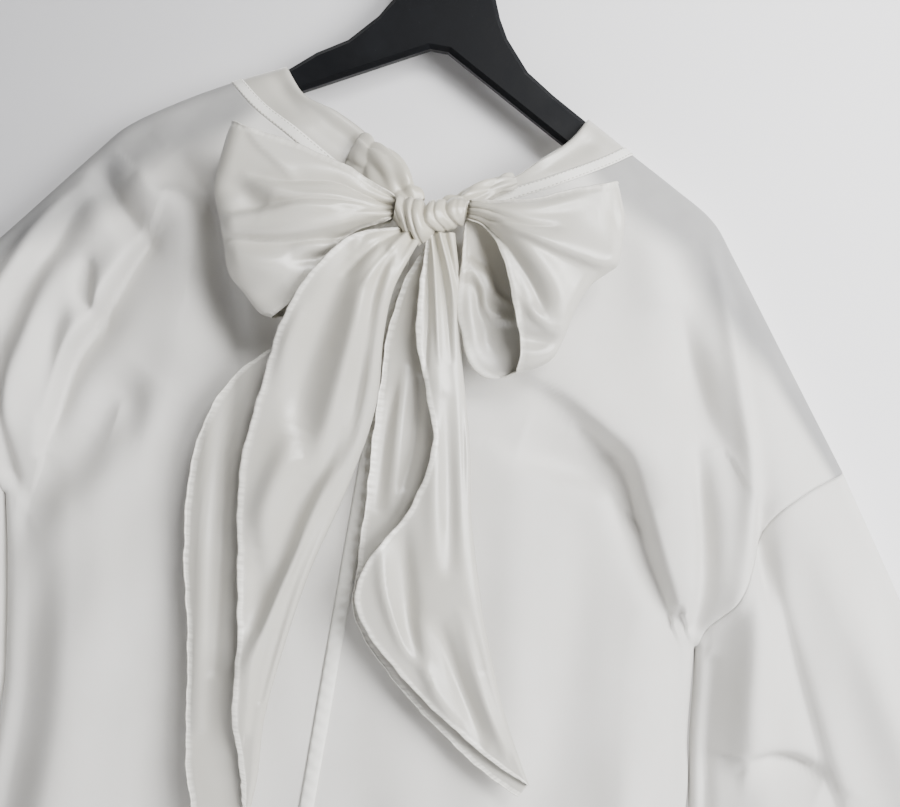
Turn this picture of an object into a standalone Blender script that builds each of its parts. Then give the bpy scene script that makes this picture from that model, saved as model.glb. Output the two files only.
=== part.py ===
"""Oversized long-sleeve cotton top with a satin neckband and a satin bow at the back, on its flat hanger.

All sizes are in millimetres until a mesh is made.  The drawing plane is the plane of the hanger: x runs to
the right and z up, from the inner apex of the hanger, as seen from behind the garment.  y is the depth: the
back of the garment lies at negative y and its front at positive y.  Both cloth sides are one height over the
drawing plane, rounded to nothing along the closed edges (shoulders, sleeve edges and side seams), so pieces
that meet at a seam follow one surface.
"""
from collections import namedtuple
import math

import bmesh
import bpy
import numpy as np

MM = 0.001

# Driving dimensions
HOOK_DROP = 108.0          # from the point where the hook is held down to the hanger's inner apex
COTTON = 1.5               # wall of the cotton cloth
SATIN = 1.0                # wall of the satin cloth
SEAM_GAP = 0.3             # between two pieces that meet
FOLD_RADIUS = 10.0         # half thickness of the garment where it is folded over the hanger
BACK_BULGE = 14.0          # how far the back hangs away from its edges
FRONT_BULGE = 5.0          # how far the front hangs away from its edges
BULGE_REACH = 50.0         # distance from a closed edge over which the bulge grows
BINDING_WIDTH = 7.5        # narrow stitched strip between the body and the satin band
FACING_WIDTH = 9.0         # turned strip beside the centre-back seam
FACING_WALL = 1.0
FOLD_FREE_EDGE = 6.0       # no fold dents the cloth nearer to a closed edge than this
FOLD_REACH = 26.0          # distance over which a fold grows from there
FOLD_END_SHARE = 0.35      # height of a fold at its two ends beside its middle
SLOPE_STEP = 0.5           # step for measuring the slope of the cloth

# Closed edges of the outline, right and left, drawn from the neck outwards and from the cuff inwards
SHOULDER = {
    "right": ((105, -30), (138, -48), (168, -64), (197, -81), (217, -105), (264, -167), (311, -229)),
    "left": ((-97, -31), (-131, -48), (-162, -66), (-192, -87), (-211, -109), (-258, -169), (-306, -229)),
}
SLEEVE_TOP = {
    "right": ((311, -229), (363, -305), (420, -392), (470, -480), (508, -572), (530, -640)),
    "left": ((-306, -229), (-359, -305), (-416, -392), (-466, -480), (-504, -572), (-526, -640)),
}
ARMHOLE = {
    "right": ((311, -229), (284, -247), (265, -267), (259, -296), (250, -325), (239, -344), (235, -360)),
    "left": ((-306, -229), (-279, -247), (-260, -267), (-254, -293), (-245, -316), (-234, -330), (-229, -341)),
}
SLEEVE_UNDER = {
    "right": ((235, -360), (246, -420), (264, -490), (302, -560), (354, -622), (418, -676)),
    "left": ((-229, -341), (-243, -412), (-262, -490), (-298, -560), (-350, -622), (-414, -676)),
}
SIDE = {
    "right": ((235, -360), (237, -381), (241, -419), (248, -462), (251, -560), (252, -664)),
    "left": ((-229, -341), (-221, -379), (-212, -430), (-207, -473), (-208, -560), (-211, -664)),
}
HEM_CENTRE = (0, -672)

# Neck seams, from the shoulder to the centre: the seam of the body and the free edge of the satin band
BACK_CENTRE = (-3, -119)
BACK_SEAM = {
    "right": ((138, -48), (123, -60), (94, -79), (70, -92), (35, -110), BACK_CENTRE),
    "left": ((-131, -48), (-110, -65), (-86, -79), (-58, -95), (-30, -110), BACK_CENTRE),
}
BACK_BAND_EDGE = {
    "right": ((105, -30), (94, -49), (81, -63), (60, -82), (30, -97), (-3, -103)),
    "left": ((-97, -31), (-80, -50), (-56, -59), (-36, -69), (-20, -82), (-3, -92)),
}
BACK_BAND_SHARE = {"right": 0.5, "left": 0.67}      # share of the neck seam that the flat band runs along
FRONT_CENTRE = (4, -160)
FRONT_SEAM = {
    "right": ((138, -48), (134, -72), (119, -100), (92, -130), (52, -152), FRONT_CENTRE),
    "left": ((-131, -48), (-127, -72), (-112, -100), (-85, -130), (-45, -152), FRONT_CENTRE),
}
FRONT_BAND_EDGE = {
    "right": ((105, -30), (100, -52), (88, -76), (66, -101), (36, -118), (4, -124)),
    "left": ((-97, -31), (-92, -52), (-80, -76), (-58, -101), (-28, -118), (4, -124)),
}

# Where the grid lines of a panel lie, as shares of an edge; they draw together at the rounded edges
NECK_SHARES = (0, 0.013, 0.04, 0.09, 0.2, 0.35, 0.5, 0.67, 0.82, 0.94, 1)
SHOULDER_SHARES = (0.09, 0.18, 0.25, 0.32, 0.41, 0.53, 0.67, 0.81, 0.93, 0.983, 1)
ARMHOLE_SHARES = (0, 0.015, 0.05, 0.13, 0.26, 0.4, 0.54, 0.68, 0.8, 0.9, 0.97, 1)
SIDE_SHARES = (0.1, 0.21, 0.33, 0.45, 0.58, 0.72, 0.86, 1)
HEM_EDGE_SHARES = (0.95, 0.98, 0.994, 1)
SLEEVE_ROWS = 15

# Folds of the cloth: the path of each (x, z), its half width and its height (a trough is negative)
Fold = namedtuple("Fold", "path width height")
BACK_FOLDS = (
    Fold(((112, -214), (148, -229), (170, -247), (190, -285), (224, -350)), 15, -13),
    Fold(((139, -196), (176, -216), (200, -258), (222, -312)), 15, 9),
    Fold(((176, -120), (194, -162), (208, -195), (228, -228)), 13, -7),
    Fold(((197, -98), (212, -130), (228, -166), (240, -205), (248, -250)), 10, 7),
    Fold(((214, -240), (231, -300), (229, -345)), 11, -10),
    Fold(((244, -182), (262, -255), (268, -330), (282, -420)), 12, 6),
    Fold(((270, -262), (276, -310), (300, -372)), 10, -7),
    Fold(((283, -318), (312, -382), (345, -446), (385, -520)), 12, -6),
    Fold(((270, -424), (305, -418), (334, -424)), 12, -6),
    Fold(((330, -300), (385, -395), (430, -490), (470, -590)), 14, 5),
    Fold(((330, -540), (372, -590), (430, -620)), 14, -6),
    Fold(((-203, -122), (-185, -142), (-163, -158), (-172, -182), (-186, -206)), 11, -8),
    Fold(((-168, -124), (-142, -133), (-124, -156), (-116, -186)), 11, 7),
    Fold(((-145, -112), (-122, -143), (-106, -186)), 11, -6),
    Fold(((-154, -148), (-158, -180), (-170, -212), (-192, -248)), 11, -8),
    Fold(((-150, -244), (-177, -300), (-206, -350)), 20, -8),
    Fold(((-184, -209), (-195, -242), (-202, -294), (-219, -338)), 9, -6),
    Fold(((-204, -141), (-221, -162), (-236, -205), (-262, -260)), 10, -7),
    Fold(((-250, -220), (-286, -300), (-318, -380)), 14, 6),
    Fold(((-276, -330), (-310, -410), (-350, -480)), 12, -6),
    Fold(((-330, -540), (-372, -590), (-430, -620)), 14, -6),
    Fold(((-92, -400), (-88, -520), (-96, -668)), 18, -6),
    Fold(((-150, -430), (-152, -540), (-148, -668)), 20, 6),
    Fold(((64, -430), (72, -540), (66, -668)), 20, 5),
    Fold(((140, -410), (148, -540), (144, -668)), 22, -6),
    Fold(((200, -420), (204, -540), (200, -668)), 16, 5),
)
FRONT_FOLDS = (
    Fold(((120, -230), (160, -280), (215, -340)), 16, -5),
    Fold(((150, -190), (190, -240), (225, -310)), 15, 4),
    Fold(((-110, -230), (-160, -280), (-210, -330)), 16, -5),
    Fold(((-150, -190), (-190, -240), (-220, -300)), 15, 4),
    Fold(((80, -380), (92, -520), (84, -668)), 22, -4),
    Fold(((150, -420), (158, -540), (152, -668)), 20, 3),
    Fold(((-80, -390), (-92, -520), (-84, -668)), 22, -4),
    Fold(((-150, -420), (-158, -540), (-152, -668)), 20, 3),
    Fold(((290, -330), (330, -420), (390, -520)), 13, -5),
    Fold(((-290, -330), (-330, -420), (-390, -520)), 13, -5),
)

# Satin knot and gathered ties
KNOT_LEFT = (-5.0, -62.0, -119.5)
KNOT_RIGHT = (37.0, -62.0, -115.5)
KNOT_RADIUS_UP = 13.5
KNOT_RADIUS_DEEP = 14.0
KNOT_END_SHARE = 0.72       # thickness of the knot's ends beside its middle
KNOT_FULLNESS = 0.6         # the lower, the more the knot keeps its thickness towards its ends
KNOT_RINGS = 10
KNOT_RING_POINTS = 14
KNOT_PLEATS = 5
KNOT_PLEAT_DEPTH = 0.03     # pleats round the knot, as a share of its radius
KNOT_WRAP_DEPTH = 0.05      # groove between two turns of the wrap, as a share of its radius
TieRing = namedtuple("TieRing", "x y z half_height half_depth")
TIES = {
    "left": (
        TieRing(-41.5, -27.7, -84.5, 12.5, 3.0),
        TieRing(-33, -30.5, -88, 11.5, 5.5),
        TieRing(-23, -33.5, -94, 10.5, 7.0),
        TieRing(-10, -36.8, -104, 9.5, 7.5),
        TieRing(5, -41.6, -115, 9.0, 7.5),
    ),
    "right": (
        TieRing(63.8, -27.3, -83.8, 5.0, 3.0),
        TieRing(57, -30, -87.5, 5.5, 4.5),
        TieRing(49, -33, -93, 6.5, 6.0),
        TieRing(39, -37, -102, 8.0, 7.0),
        TieRing(26, -41.6, -113, 8.5, 7.5),
    ),
}
TIE_RUCHES = 5
TIE_RING_POINTS = 12
TIE_PINCH = 0.84            # thickness of a tie between two ruches beside its ruches
TIE_PLEATS = 4
TIE_PLEAT_DEPTH = 0.05      # pleats round a tie, as a share of its radius

# Bow loops: the layer that faces the viewer and the layer behind it meet at the outer end
Loop = namedtuple("Loop", "top outer front_under back_under pleats")
LOOPS = {
    "left": Loop(
        top=((-6.1, -113), (-48, -103), (-73, -97), (-107, -89)),
        outer=((-107, -89), (-114, -105), (-112, -128), (-104, -153), (-94, -176), (-81, -190), (-66, -198)),
        front_under=((-6.1, -127), (-28, -140), (-46, -166), (-56, -188), (-66, -198)),
        back_under=((-6.1, -127), (-24, -144), (-40, -172), (-52, -194), (-66, -198)),
        pleats=3),
    "right": Loop(
        top=((38.1, -108), (79, -95), (104, -88), (125, -82)),
        outer=((125, -82), (133, -98), (132, -124), (120, -146), (111, -174), (103, -191), (84, -205)),
        front_under=((38.1, -119), (52, -124), (66, -142), (78, -170), (84, -205)),
        back_under=((38.1, -124), (43, -160), (50, -190), (63, -206), (84, -205)),
        pleats=3),
}
LOOP_MIDDLE = -62.0
LOOP_KNOT_DEPTH = 3.0
LOOP_FRONT_DEPTH = 13.0
LOOP_BACK_DEPTH = 8.0
LOOP_END_RADIUS = 10.0
LOOP_WAVE = 2.6
LOOP_WAVE_START = 0.6       # where across the ribbon its first pleat begins, in radians
LOOP_WAVE_REACH = 0.8       # share of a half turn over which a pleat swells and fades along the ribbon
LOOP_BELLY_SHIFT = 0.8      # below 1 the belly lies nearer to the knot
LOOP_EDGE_BELLY = 0.12      # share of the belly's half turn that lies beyond each edge of the ribbon
LOOP_SHARES = (0, 0.2, 0.4, 0.6, 0.78, 0.9, 0.97, 1)
LOOP_ACROSS = 12

# Bow tails: a ribbon folded lengthwise, with the two free edges and the fold between them
TailRow = namedtuple("TailRow", "front_edge fold back_edge front_y back_y")
TAILS = {
    "left": (
        TailRow((-1, -131.3), (15, -131.6), (2, -131.3), -66, -58),
        TailRow((-26, -142), (9, -150), (-18, -149), -79, -68),
        TailRow((-45, -166), (3, -172), (-38, -172), -82, -69),
        TailRow((-59, -198), (2, -200), (-56, -206), -76, -60),
        TailRow((-66, -238), (4, -240), (-90, -242), -64, -47),
        TailRow((-70, -290), (3, -290), (-104, -292), -58, -42),
        TailRow((-65, -350), (-9, -350), (-99, -350), -57, -42),
        TailRow((-54, -398), (-19, -398), (-88, -398), -56, -42),
        TailRow((-49, -442), (-27, -442), (-80, -444), -54, -43),
        TailRow((-39, -476), (-28, -478), (-72, -488), -52, -43),
        TailRow((-34, -497), (-29, -502), (-50, -546), -50, -44),
    ),
    "right": (
        TailRow((17, -131.4), (33, -128.4), (19, -131.2), -66, -58),
        TailRow((17, -160), (42, -160), (7, -160), -58, -47),
        TailRow((20, -192), (48, -192), (2, -192), -54, -41),
        TailRow((33, -228), (58, -228), (3, -228), -54, -40),
        TailRow((42, -258), (66, -258), (4, -258), -54, -40),
        TailRow((35, -298), (74, -298), (7, -298), -55, -40),
        TailRow((13, -340), (86, -338), (9, -340), -56, -40),
        TailRow((17, -370), (94, -362), (14, -374), -55, -41),
        TailRow((50, -402), (107, -394), (46, -408), -53, -42),
        TailRow((86, -427), (119, -420), (82, -435), -52, -43),
        TailRow((118, -446), (131, -442), (114, -455), -50, -44),
        TailRow((134, -452), (138, -454), (133, -463), -49, -45),
    ),
}
TAIL_ROWS = 22
TAIL_FOLD_SHARE = 0.7       # greatest part of a layer's width that the rounded fold takes up
TAIL_LAYER_SHARES = (0, 0.22, 0.44, 0.66, 0.84, 0.95, 1)

# Hanger: right half of its outline from the top down the upper edge, and the slope of its lower edge
HANGER_NECK = ((24, 50), (30, 44), (31, 36), (36, 24), (43, 12), (60, -7), (79, -19))
HANGER_UNDER_CLOTH = 2.9   # how far its upper edge lies below the cloth's outer edge
HANGER_REACH = {"right": 178.0, "left": 170.0}      # from the middle to the end of each upper edge
HANGER_TIP_SLANT = 8.0     # how much further the upper edge reaches than the lower one
HANGER_SLOPE = math.tan(math.radians(28.5))
HANGER_APEX_RADIUS = 6.0
HANGER_HALF_WALL = 6.0
HANGER_CHAMFER = 3.0
HANGER_TIP_TURNS = (0.25, 0.5, 0.75)                # points round each tip, as shares of a half turn
HOOK_WIRE = 1.8            # radius of the hook's wire
HOOK_RADIUS = 19.0         # inside radius of the hook
HOOK_TIP_ANGLE = 190.0
HOOK_LEAVE_ANGLE = -48.0
HOOK_ARC_STEPS = 16
HOOK_NECK_STEPS = 6
HOOK_ARC_PULL = 10.0       # how strongly the bend under the arc keeps the arc's direction
HOOK_SHANK_PULL = 9.0      # how strongly it keeps the shank's direction
HOOK_RING_POINTS = 8


def smooth_curve(points, steps=14):
    """Dense points on a Catmull-Rom curve through the table's points."""
    table = np.array(points, dtype=float)
    ends = np.vstack([2 * table[0] - table[1], table, 2 * table[-1] - table[-2]])
    shares = np.arange(steps)[:, None] / steps
    dense = []
    for a, b, c, d in zip(ends[:-3], ends[1:-2], ends[2:-1], ends[3:]):
        dense.append(0.5 * (2 * b + (c - a) * shares + (2 * a - 5 * b + 4 * c - d) * shares ** 2
                            + (3 * b - a - 3 * c + d) * shares ** 3))
    dense.append(table[-1:])
    return np.vstack(dense)


def at_shares(curve, shares):
    """Points at the given shares of a curve's length."""
    lengths = np.concatenate([[0.0], np.cumsum(np.linalg.norm(np.diff(curve, axis=0), axis=1))])
    places = np.array(shares) * lengths[-1]
    return np.stack([np.interp(places, lengths, column) for column in curve.T], axis=-1)


def nearest_on(curve, points):
    """Distance from each point to a polyline, and the share of the polyline where it is nearest."""
    starts = curve[:-1]
    steps = np.diff(curve, axis=0)
    lengths = np.linalg.norm(steps, axis=1)
    before = np.concatenate([[0.0], np.cumsum(lengths)[:-1]])
    offsets = points[..., None, :] - starts
    along = np.clip((offsets * steps).sum(-1) / lengths ** 2, 0.0, 1.0)
    distances = np.linalg.norm(offsets - along[..., None] * steps, axis=-1)
    best = distances.argmin(-1)
    nearest = np.take_along_axis(distances, best[..., None], -1)[..., 0]
    share = (before[best] + np.take_along_axis(along, best[..., None], -1)[..., 0] * lengths[best]) / lengths.sum()
    return nearest, share


CLOSED_EDGES = [smooth_curve(table[side]) for table in (SHOULDER, SLEEVE_TOP, SLEEVE_UNDER, SIDE)
                for side in ("left", "right")]
FOLD_PATHS = {fold: smooth_curve(fold.path, 6) for fold in BACK_FOLDS + FRONT_FOLDS}


def ease(share):
    """Smooth step from 0 to 1."""
    share = np.clip(share, 0.0, 1.0)
    return share * share * (3.0 - 2.0 * share)


def rounded(distance, radius):
    """Quarter circle that rises from 0 at an edge to its radius."""
    share = np.clip(distance / radius, 0.0, 1.0)
    return radius * np.sqrt(1.0 - (1.0 - share) ** 2)


def cloth_height(points, bulge, folds):
    """How far one side of the garment stands off the drawing plane, for points of x and z."""
    distance = np.min([nearest_on(edge, points)[0] for edge in CLOSED_EDGES], axis=0)
    height = rounded(distance, FOLD_RADIUS) + bulge * ease(distance / BULGE_REACH)
    away_from_edge = ease((distance - FOLD_FREE_EDGE) / FOLD_REACH)
    for fold in folds:
        gap, share = nearest_on(FOLD_PATHS[fold], points)
        taper = FOLD_END_SHARE + (1.0 - FOLD_END_SHARE) * np.sin(math.pi * share)
        height += fold.height * taper * np.exp(-(gap / fold.width) ** 2) * away_from_edge
    return height


class Side:
    """One side of the garment, back or front, as a surface over the drawing plane."""

    def __init__(self, sign, bulge, folds):
        self.sign = sign
        self.bulge = bulge
        self.folds = folds

    def height(self, points):
        return cloth_height(points, self.bulge, self.folds)

    def surface(self, points, closed):
        """Outer points and outward normals; closed marks the points on a closed edge."""
        height = np.where(closed, 0.0, self.height(points)) + SEAM_GAP / 2
        step_x = np.array([SLOPE_STEP, 0.0])
        step_z = np.array([0.0, SLOPE_STEP])
        slope_x = (self.height(points + step_x) - self.height(points - step_x)) / (2 * SLOPE_STEP)
        slope_z = (self.height(points + step_z) - self.height(points - step_z)) / (2 * SLOPE_STEP)
        outer = np.stack([points[..., 0], self.sign * height, points[..., 1]], axis=-1)
        normals = np.stack([-slope_x, np.full_like(height, self.sign), -slope_z], axis=-1)
        return outer, unit(normals)


BACK = Side(-1.0, BACK_BULGE, BACK_FOLDS)
FRONT = Side(1.0, FRONT_BULGE, FRONT_FOLDS)


def unit(vectors):
    """Vectors of length one."""
    return vectors / np.linalg.norm(vectors, axis=-1, keepdims=True)


def edge_normals(edge, inside):
    """Outward normals, in the drawing plane, of edge points that have the given neighbours inside."""
    along = unit(np.gradient(edge, axis=0))
    across = np.stack([-along[:, 1], along[:, 0]], axis=-1)
    outward = np.sign(((edge - inside) * across).sum(-1, keepdims=True))
    across = across * outward
    return np.stack([across[:, 0], np.zeros(len(edge)), across[:, 1]], axis=-1)


def grid_normals(grid):
    """Normals of a grid of points, from its neighbours along and across."""
    return unit(np.cross(np.gradient(grid, axis=0), np.gradient(grid, axis=1)))


def patch(top, bottom, left, right, across, down):
    """Grid of points between four edges.

    across is how far each column follows the right edge instead of the left one, and down how far each row
    follows the bottom instead of the top.
    """
    u = np.array(across)[:, None, None]
    v = np.array(down)[None, :, None]
    corners = ((1 - u) * (1 - v) * top[0] + u * (1 - v) * top[-1]
               + (1 - u) * v * bottom[0] + u * v * bottom[-1])
    return ((1 - v) * top[:, None] + v * bottom[:, None]
            + (1 - u) * left[None] + u * right[None] - corners)


# Meshes

def new_part(name, vertices, faces, finish):
    """Object with its mesh, outward faces and material, placed at the hanger's inner apex."""
    mesh = bpy.data.meshes.new(name)
    work = bmesh.new()
    corners = [work.verts.new([value * MM for value in vertex]) for vertex in vertices]
    for face in faces:
        work.faces.new([corners[index] for index in face])
    bmesh.ops.recalc_face_normals(work, faces=work.faces)
    work.to_mesh(mesh)
    work.free()
    mesh.shade_smooth()
    mesh.materials.append(finish)
    part = bpy.data.objects.new(name, mesh)
    part.location = (0.0, 0.0, -HOOK_DROP * MM)
    bpy.context.collection.objects.link(part)
    return part


def wall(name, outer, normals, thickness, finish, ring=False):
    """Closed wall between a grid of outer points and the same grid moved in; a ring closes its columns."""
    columns, rows = outer.shape[:2]
    inner = outer - normals * thickness
    vertices = np.vstack([outer.reshape(-1, 3), inner.reshape(-1, 3)])
    half = columns * rows

    def index(column, row, layer):
        return layer * half + (column % columns) * rows + row

    faces = []
    for column in range(columns if ring else columns - 1):
        for row in range(rows - 1):
            square = ((column, row), (column + 1, row), (column + 1, row + 1), (column, row + 1))
            faces.append([index(c, r, 0) for c, r in square])
            faces.append([index(c, r, 1) for c, r in reversed(square)])
        for row in (0, rows - 1):
            faces.append([index(column, row, 0), index(column + 1, row, 0),
                          index(column + 1, row, 1), index(column, row, 1)])
    if not ring:
        for column in (0, columns - 1):
            for row in range(rows - 1):
                faces.append([index(column, row, 0), index(column, row + 1, 0),
                              index(column, row + 1, 1), index(column, row, 1)])
    return new_part(name, vertices, faces, finish)


def solid_of_rings(name, rings, finish):
    """Solid through closed rings of equal length, with flat ends."""
    count = len(rings[0])
    vertices = np.vstack(rings)
    faces = []
    for ring in range(len(rings) - 1):
        for point in range(count):
            after = (point + 1) % count
            faces.append([ring * count + point, ring * count + after,
                          (ring + 1) * count + after, (ring + 1) * count + point])
    faces.append(list(range(count)))
    faces.append([(len(rings) - 1) * count + point for point in range(count)])
    return new_part(name, vertices, faces, finish)


# Body panels

def half_panel(side, neck_seam, centre_top, neck_shares):
    """Drawing-plane grid of one half of the body, columns from the centre out and rows from the top down."""
    neck = at_shares(smooth_curve(neck_seam[side]), neck_shares)[::-1]
    shoulder = smooth_curve(SHOULDER[side])
    shoulder = shoulder[nearest_index(shoulder, neck[-1]):]
    shoulder[0] = neck[-1]
    top = np.vstack([neck, at_shares(shoulder, SHOULDER_SHARES)])
    armhole = at_shares(smooth_curve(ARMHOLE[side]), ARMHOLE_SHARES)
    outside = np.vstack([armhole, at_shares(smooth_curve(SIDE[side]), SIDE_SHARES)])
    drop = (outside[:, 1] - outside[0, 1]) / (outside[-1, 1] - outside[0, 1])
    hem_line = np.array([HEM_CENTRE, SIDE[side][-1]], dtype=float)
    first = FACING_WIDTH / abs(hem_line[1, 0])
    spread = np.linspace(first, HEM_EDGE_SHARES[0], len(top) - len(HEM_EDGE_SHARES))
    across = np.concatenate([[0.0], spread, HEM_EDGE_SHARES[1:]])
    bottom = at_shares(hem_line, across)
    middle = np.array([centre_top, HEM_CENTRE], dtype=float)
    neck_share = across[len(neck) - 1]
    follow_side = np.clip((across - neck_share) / (1.0 - neck_share), 0.0, 1.0)
    return patch(top, bottom, at_shares(middle, drop), outside, follow_side, drop)


def nearest_index(curve, point):
    """Index of the curve's point nearest to a given point."""
    return int(np.linalg.norm(curve - point, axis=1).argmin())


def closed_edges_of(grid, neck_columns):
    """Mask of the grid's points that lie on the shoulder or on the side seam."""
    closed = np.zeros(grid.shape[:2], dtype=bool)
    closed[neck_columns:, 0] = True
    closed[-1, len(ARMHOLE_SHARES) - 1:] = True
    return closed


def turn_edges(grid, normals, neck_columns):
    """Set the normals along the shoulder and the side seam into the drawing plane."""
    normals[neck_columns:, 0] = edge_normals(grid[neck_columns:, 0], grid[neck_columns:, 1])
    under = len(ARMHOLE_SHARES) - 1
    normals[-1, under:] = edge_normals(grid[-1, under:], grid[-2, under:])


def make_backs(finish):
    """Left and right back, parted at the centre seam, and the turned strip beside that seam."""
    neck_columns = len(NECK_SHARES) - 1
    for side, sign in (("left", -1.0), ("right", 1.0)):
        grid = half_panel(side, BACK_SEAM, BACK_CENTRE, NECK_SHARES)
        grid[0, :, 0] += sign * SEAM_GAP / 2
        outer, normals = BACK.surface(grid, closed_edges_of(grid, neck_columns))
        turn_edges(grid, normals, neck_columns)
        wall("back_" + side, outer, normals, COTTON, finish)
        if side == "right":
            strip = outer[:2] + normals[:2] * (SEAM_GAP + FACING_WALL)
            wall("back_facing", strip, normals[:2], FACING_WALL, finish)


def make_front(finish):
    """Front in one piece, its two halves joined along the centre."""
    neck_columns = len(NECK_SHARES) - 1
    halves = {}
    for side in ("left", "right"):
        grid = half_panel(side, FRONT_SEAM, FRONT_CENTRE, NECK_SHARES)
        outer, normals = FRONT.surface(grid, closed_edges_of(grid, neck_columns))
        turn_edges(grid, normals, neck_columns)
        halves[side] = (outer, normals)
    outer = np.concatenate([halves["left"][0][:0:-1], halves["right"][0]])
    normals = np.concatenate([halves["left"][1][:0:-1], halves["right"][1]])
    wall("front", outer, normals, COTTON, finish)


def make_sleeve(side, finish):
    """Sleeve as one tube: its back from the top edge to the lower edge, then its front on the way back."""
    along = np.linspace(0.0, 1.0, SLEEVE_ROWS + 1)
    seam = at_shares(smooth_curve(ARMHOLE[side]), ARMHOLE_SHARES)
    body_side = np.array([-math.copysign(1.0, seam[0, 0]), 0.0])
    outward = edge_normals(seam, seam + body_side)
    seam = seam + outward[:, ::2] * SEAM_GAP
    upper = at_shares(smooth_curve(SLEEVE_TOP[side]), along)
    lower = at_shares(smooth_curve(SLEEVE_UNDER[side]), along)
    upper[0] = seam[0]
    lower[0] = seam[-1]
    cuff = at_shares(np.array([upper[-1], lower[-1]]), ARMHOLE_SHARES)
    grid = patch(seam, cuff, upper, lower, ARMHOLE_SHARES, along)
    closed = np.zeros(grid.shape[:2], dtype=bool)
    closed[[0, -1]] = True
    back, back_normals = BACK.surface(grid, closed)
    front, front_normals = FRONT.surface(grid, closed)
    for points, normals in ((back, back_normals), (front, front_normals)):
        points[[0, -1], :, 1] = 0.0
        normals[0] = edge_normals(grid[0], grid[1])
        normals[-1] = edge_normals(grid[-1], grid[-2])
    outer = np.concatenate([back, front[-2:0:-1]])
    normals = np.concatenate([back_normals, front_normals[-2:0:-1]])
    wall("sleeve_" + side, outer, normals, COTTON, finish, ring=True)


# Neck

def neck_strip(side_surface, seam, free_edge, shares, start, width, steps):
    """Strip along a neck seam, from a distance start inside the seam; width None runs to the free edge."""
    outside = at_shares(smooth_curve(seam), shares)
    inside = at_shares(smooth_curve(free_edge), shares)
    span = np.linalg.norm(inside - outside, axis=1, keepdims=True)
    inward = (inside - outside) / span
    end = span if width is None else np.full_like(span, start + width)
    rows = [outside + inward * (start + (end - start) * step / steps) for step in range(steps + 1)]
    grid = np.stack(rows, axis=1)
    closed = np.zeros(grid.shape[:2], dtype=bool)
    closed[0] = True
    outer, normals = side_surface.surface(grid, closed)
    normals[0] = edge_normals(grid[0], grid[1])
    return outer, normals


def joined(left, right):
    """One strip from a left half and a right half that share their last column."""
    return (np.concatenate([left[0], right[0][-2::-1]]),
            np.concatenate([left[1], right[1][-2::-1]]))


def make_neck(cotton, satin):
    """Narrow cotton binding and wide satin band, each in a front piece and two back pieces."""
    band_start = BINDING_WIDTH + 2 * SEAM_GAP
    for side in ("left", "right"):
        seam = BACK_SEAM[side]
        edge = BACK_BAND_EDGE[side]
        seam_length = np.linalg.norm(np.diff(smooth_curve(seam), axis=0), axis=1).sum()
        shares = np.array(NECK_SHARES) * (1.0 - SEAM_GAP / seam_length)
        binding = neck_strip(BACK, seam, edge, shares, SEAM_GAP, BINDING_WIDTH, 1)
        wall("binding_back_" + side, *binding, COTTON, cotton)
        covered = [share for share in NECK_SHARES if share <= BACK_BAND_SHARE[side]]
        band = neck_strip(BACK, seam, edge, covered, band_start, None, 3)
        wall("band_back_" + side, *band, SATIN, satin)
    binding = joined(*[neck_strip(FRONT, FRONT_SEAM[side], FRONT_BAND_EDGE[side], NECK_SHARES,
                                  SEAM_GAP, BINDING_WIDTH, 1) for side in ("left", "right")])
    wall("binding_front", *binding, COTTON, cotton)
    band = joined(*[neck_strip(FRONT, FRONT_SEAM[side], FRONT_BAND_EDGE[side], NECK_SHARES,
                               band_start, None, 3) for side in ("left", "right")])
    wall("band_front", *band, SATIN, satin)


# Bow

def ellipse_ring(centre, up, deep, half_height, half_depth, count, ripple, turns):
    """Closed ring round a centre, rippled so that it shows its pleats."""
    ring = []
    for index in range(count):
        angle = 2 * math.pi * index / count
        swell = 1.0 + ripple * math.cos(turns * angle)
        ring.append(centre + up * (half_height * swell * math.cos(angle))
                    + deep * (half_depth * swell * math.sin(angle)))
    return np.array(ring)


def make_knot(finish):
    """Barrel of wrapped satin, with pleats that turn round it, between two flat ends."""
    left = np.array(KNOT_LEFT)
    right = np.array(KNOT_RIGHT)
    up = np.array([0.0, 0.0, 1.0])
    deep = np.array([0.0, 1.0, 0.0])
    rings = []
    for step in range(KNOT_RINGS + 1):
        share = step / KNOT_RINGS
        swell = KNOT_END_SHARE + (1 - KNOT_END_SHARE) * math.sin(math.pi * share) ** KNOT_FULLNESS
        wrap = 1.0 - KNOT_WRAP_DEPTH * (step % 2)
        centre = left + (right - left) * share
        rings.append(ellipse_ring(centre, up, deep, KNOT_RADIUS_UP * swell * wrap,
                                  KNOT_RADIUS_DEEP * swell * wrap, KNOT_RING_POINTS,
                                  KNOT_PLEAT_DEPTH, KNOT_PLEATS))
    solid_of_rings("knot", rings, finish)


def make_tie(side, finish):
    """Gathered end of the neckband, from the band to the back of the knot, with ruches along it."""
    table = np.array(TIES[side], dtype=float)
    curve = at_shares(smooth_curve(table), np.linspace(0.0, 1.0, 2 * TIE_RUCHES + 1))
    directions = unit(np.gradient(curve[:, :3], axis=0))
    rings = []
    for step, (row, direction) in enumerate(zip(curve, directions)):
        deep = unit(np.cross(direction, np.array([0.0, 0.0, 1.0])))
        up = np.cross(deep, direction)
        pinch = 1.0 if step % 2 == 0 else TIE_PINCH
        rings.append(ellipse_ring(row[:3], up, deep, row[3] * pinch, row[4] * pinch, TIE_RING_POINTS,
                                  TIE_PLEAT_DEPTH, TIE_PLEATS))
    solid_of_rings("tie_" + side, rings, finish)


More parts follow.
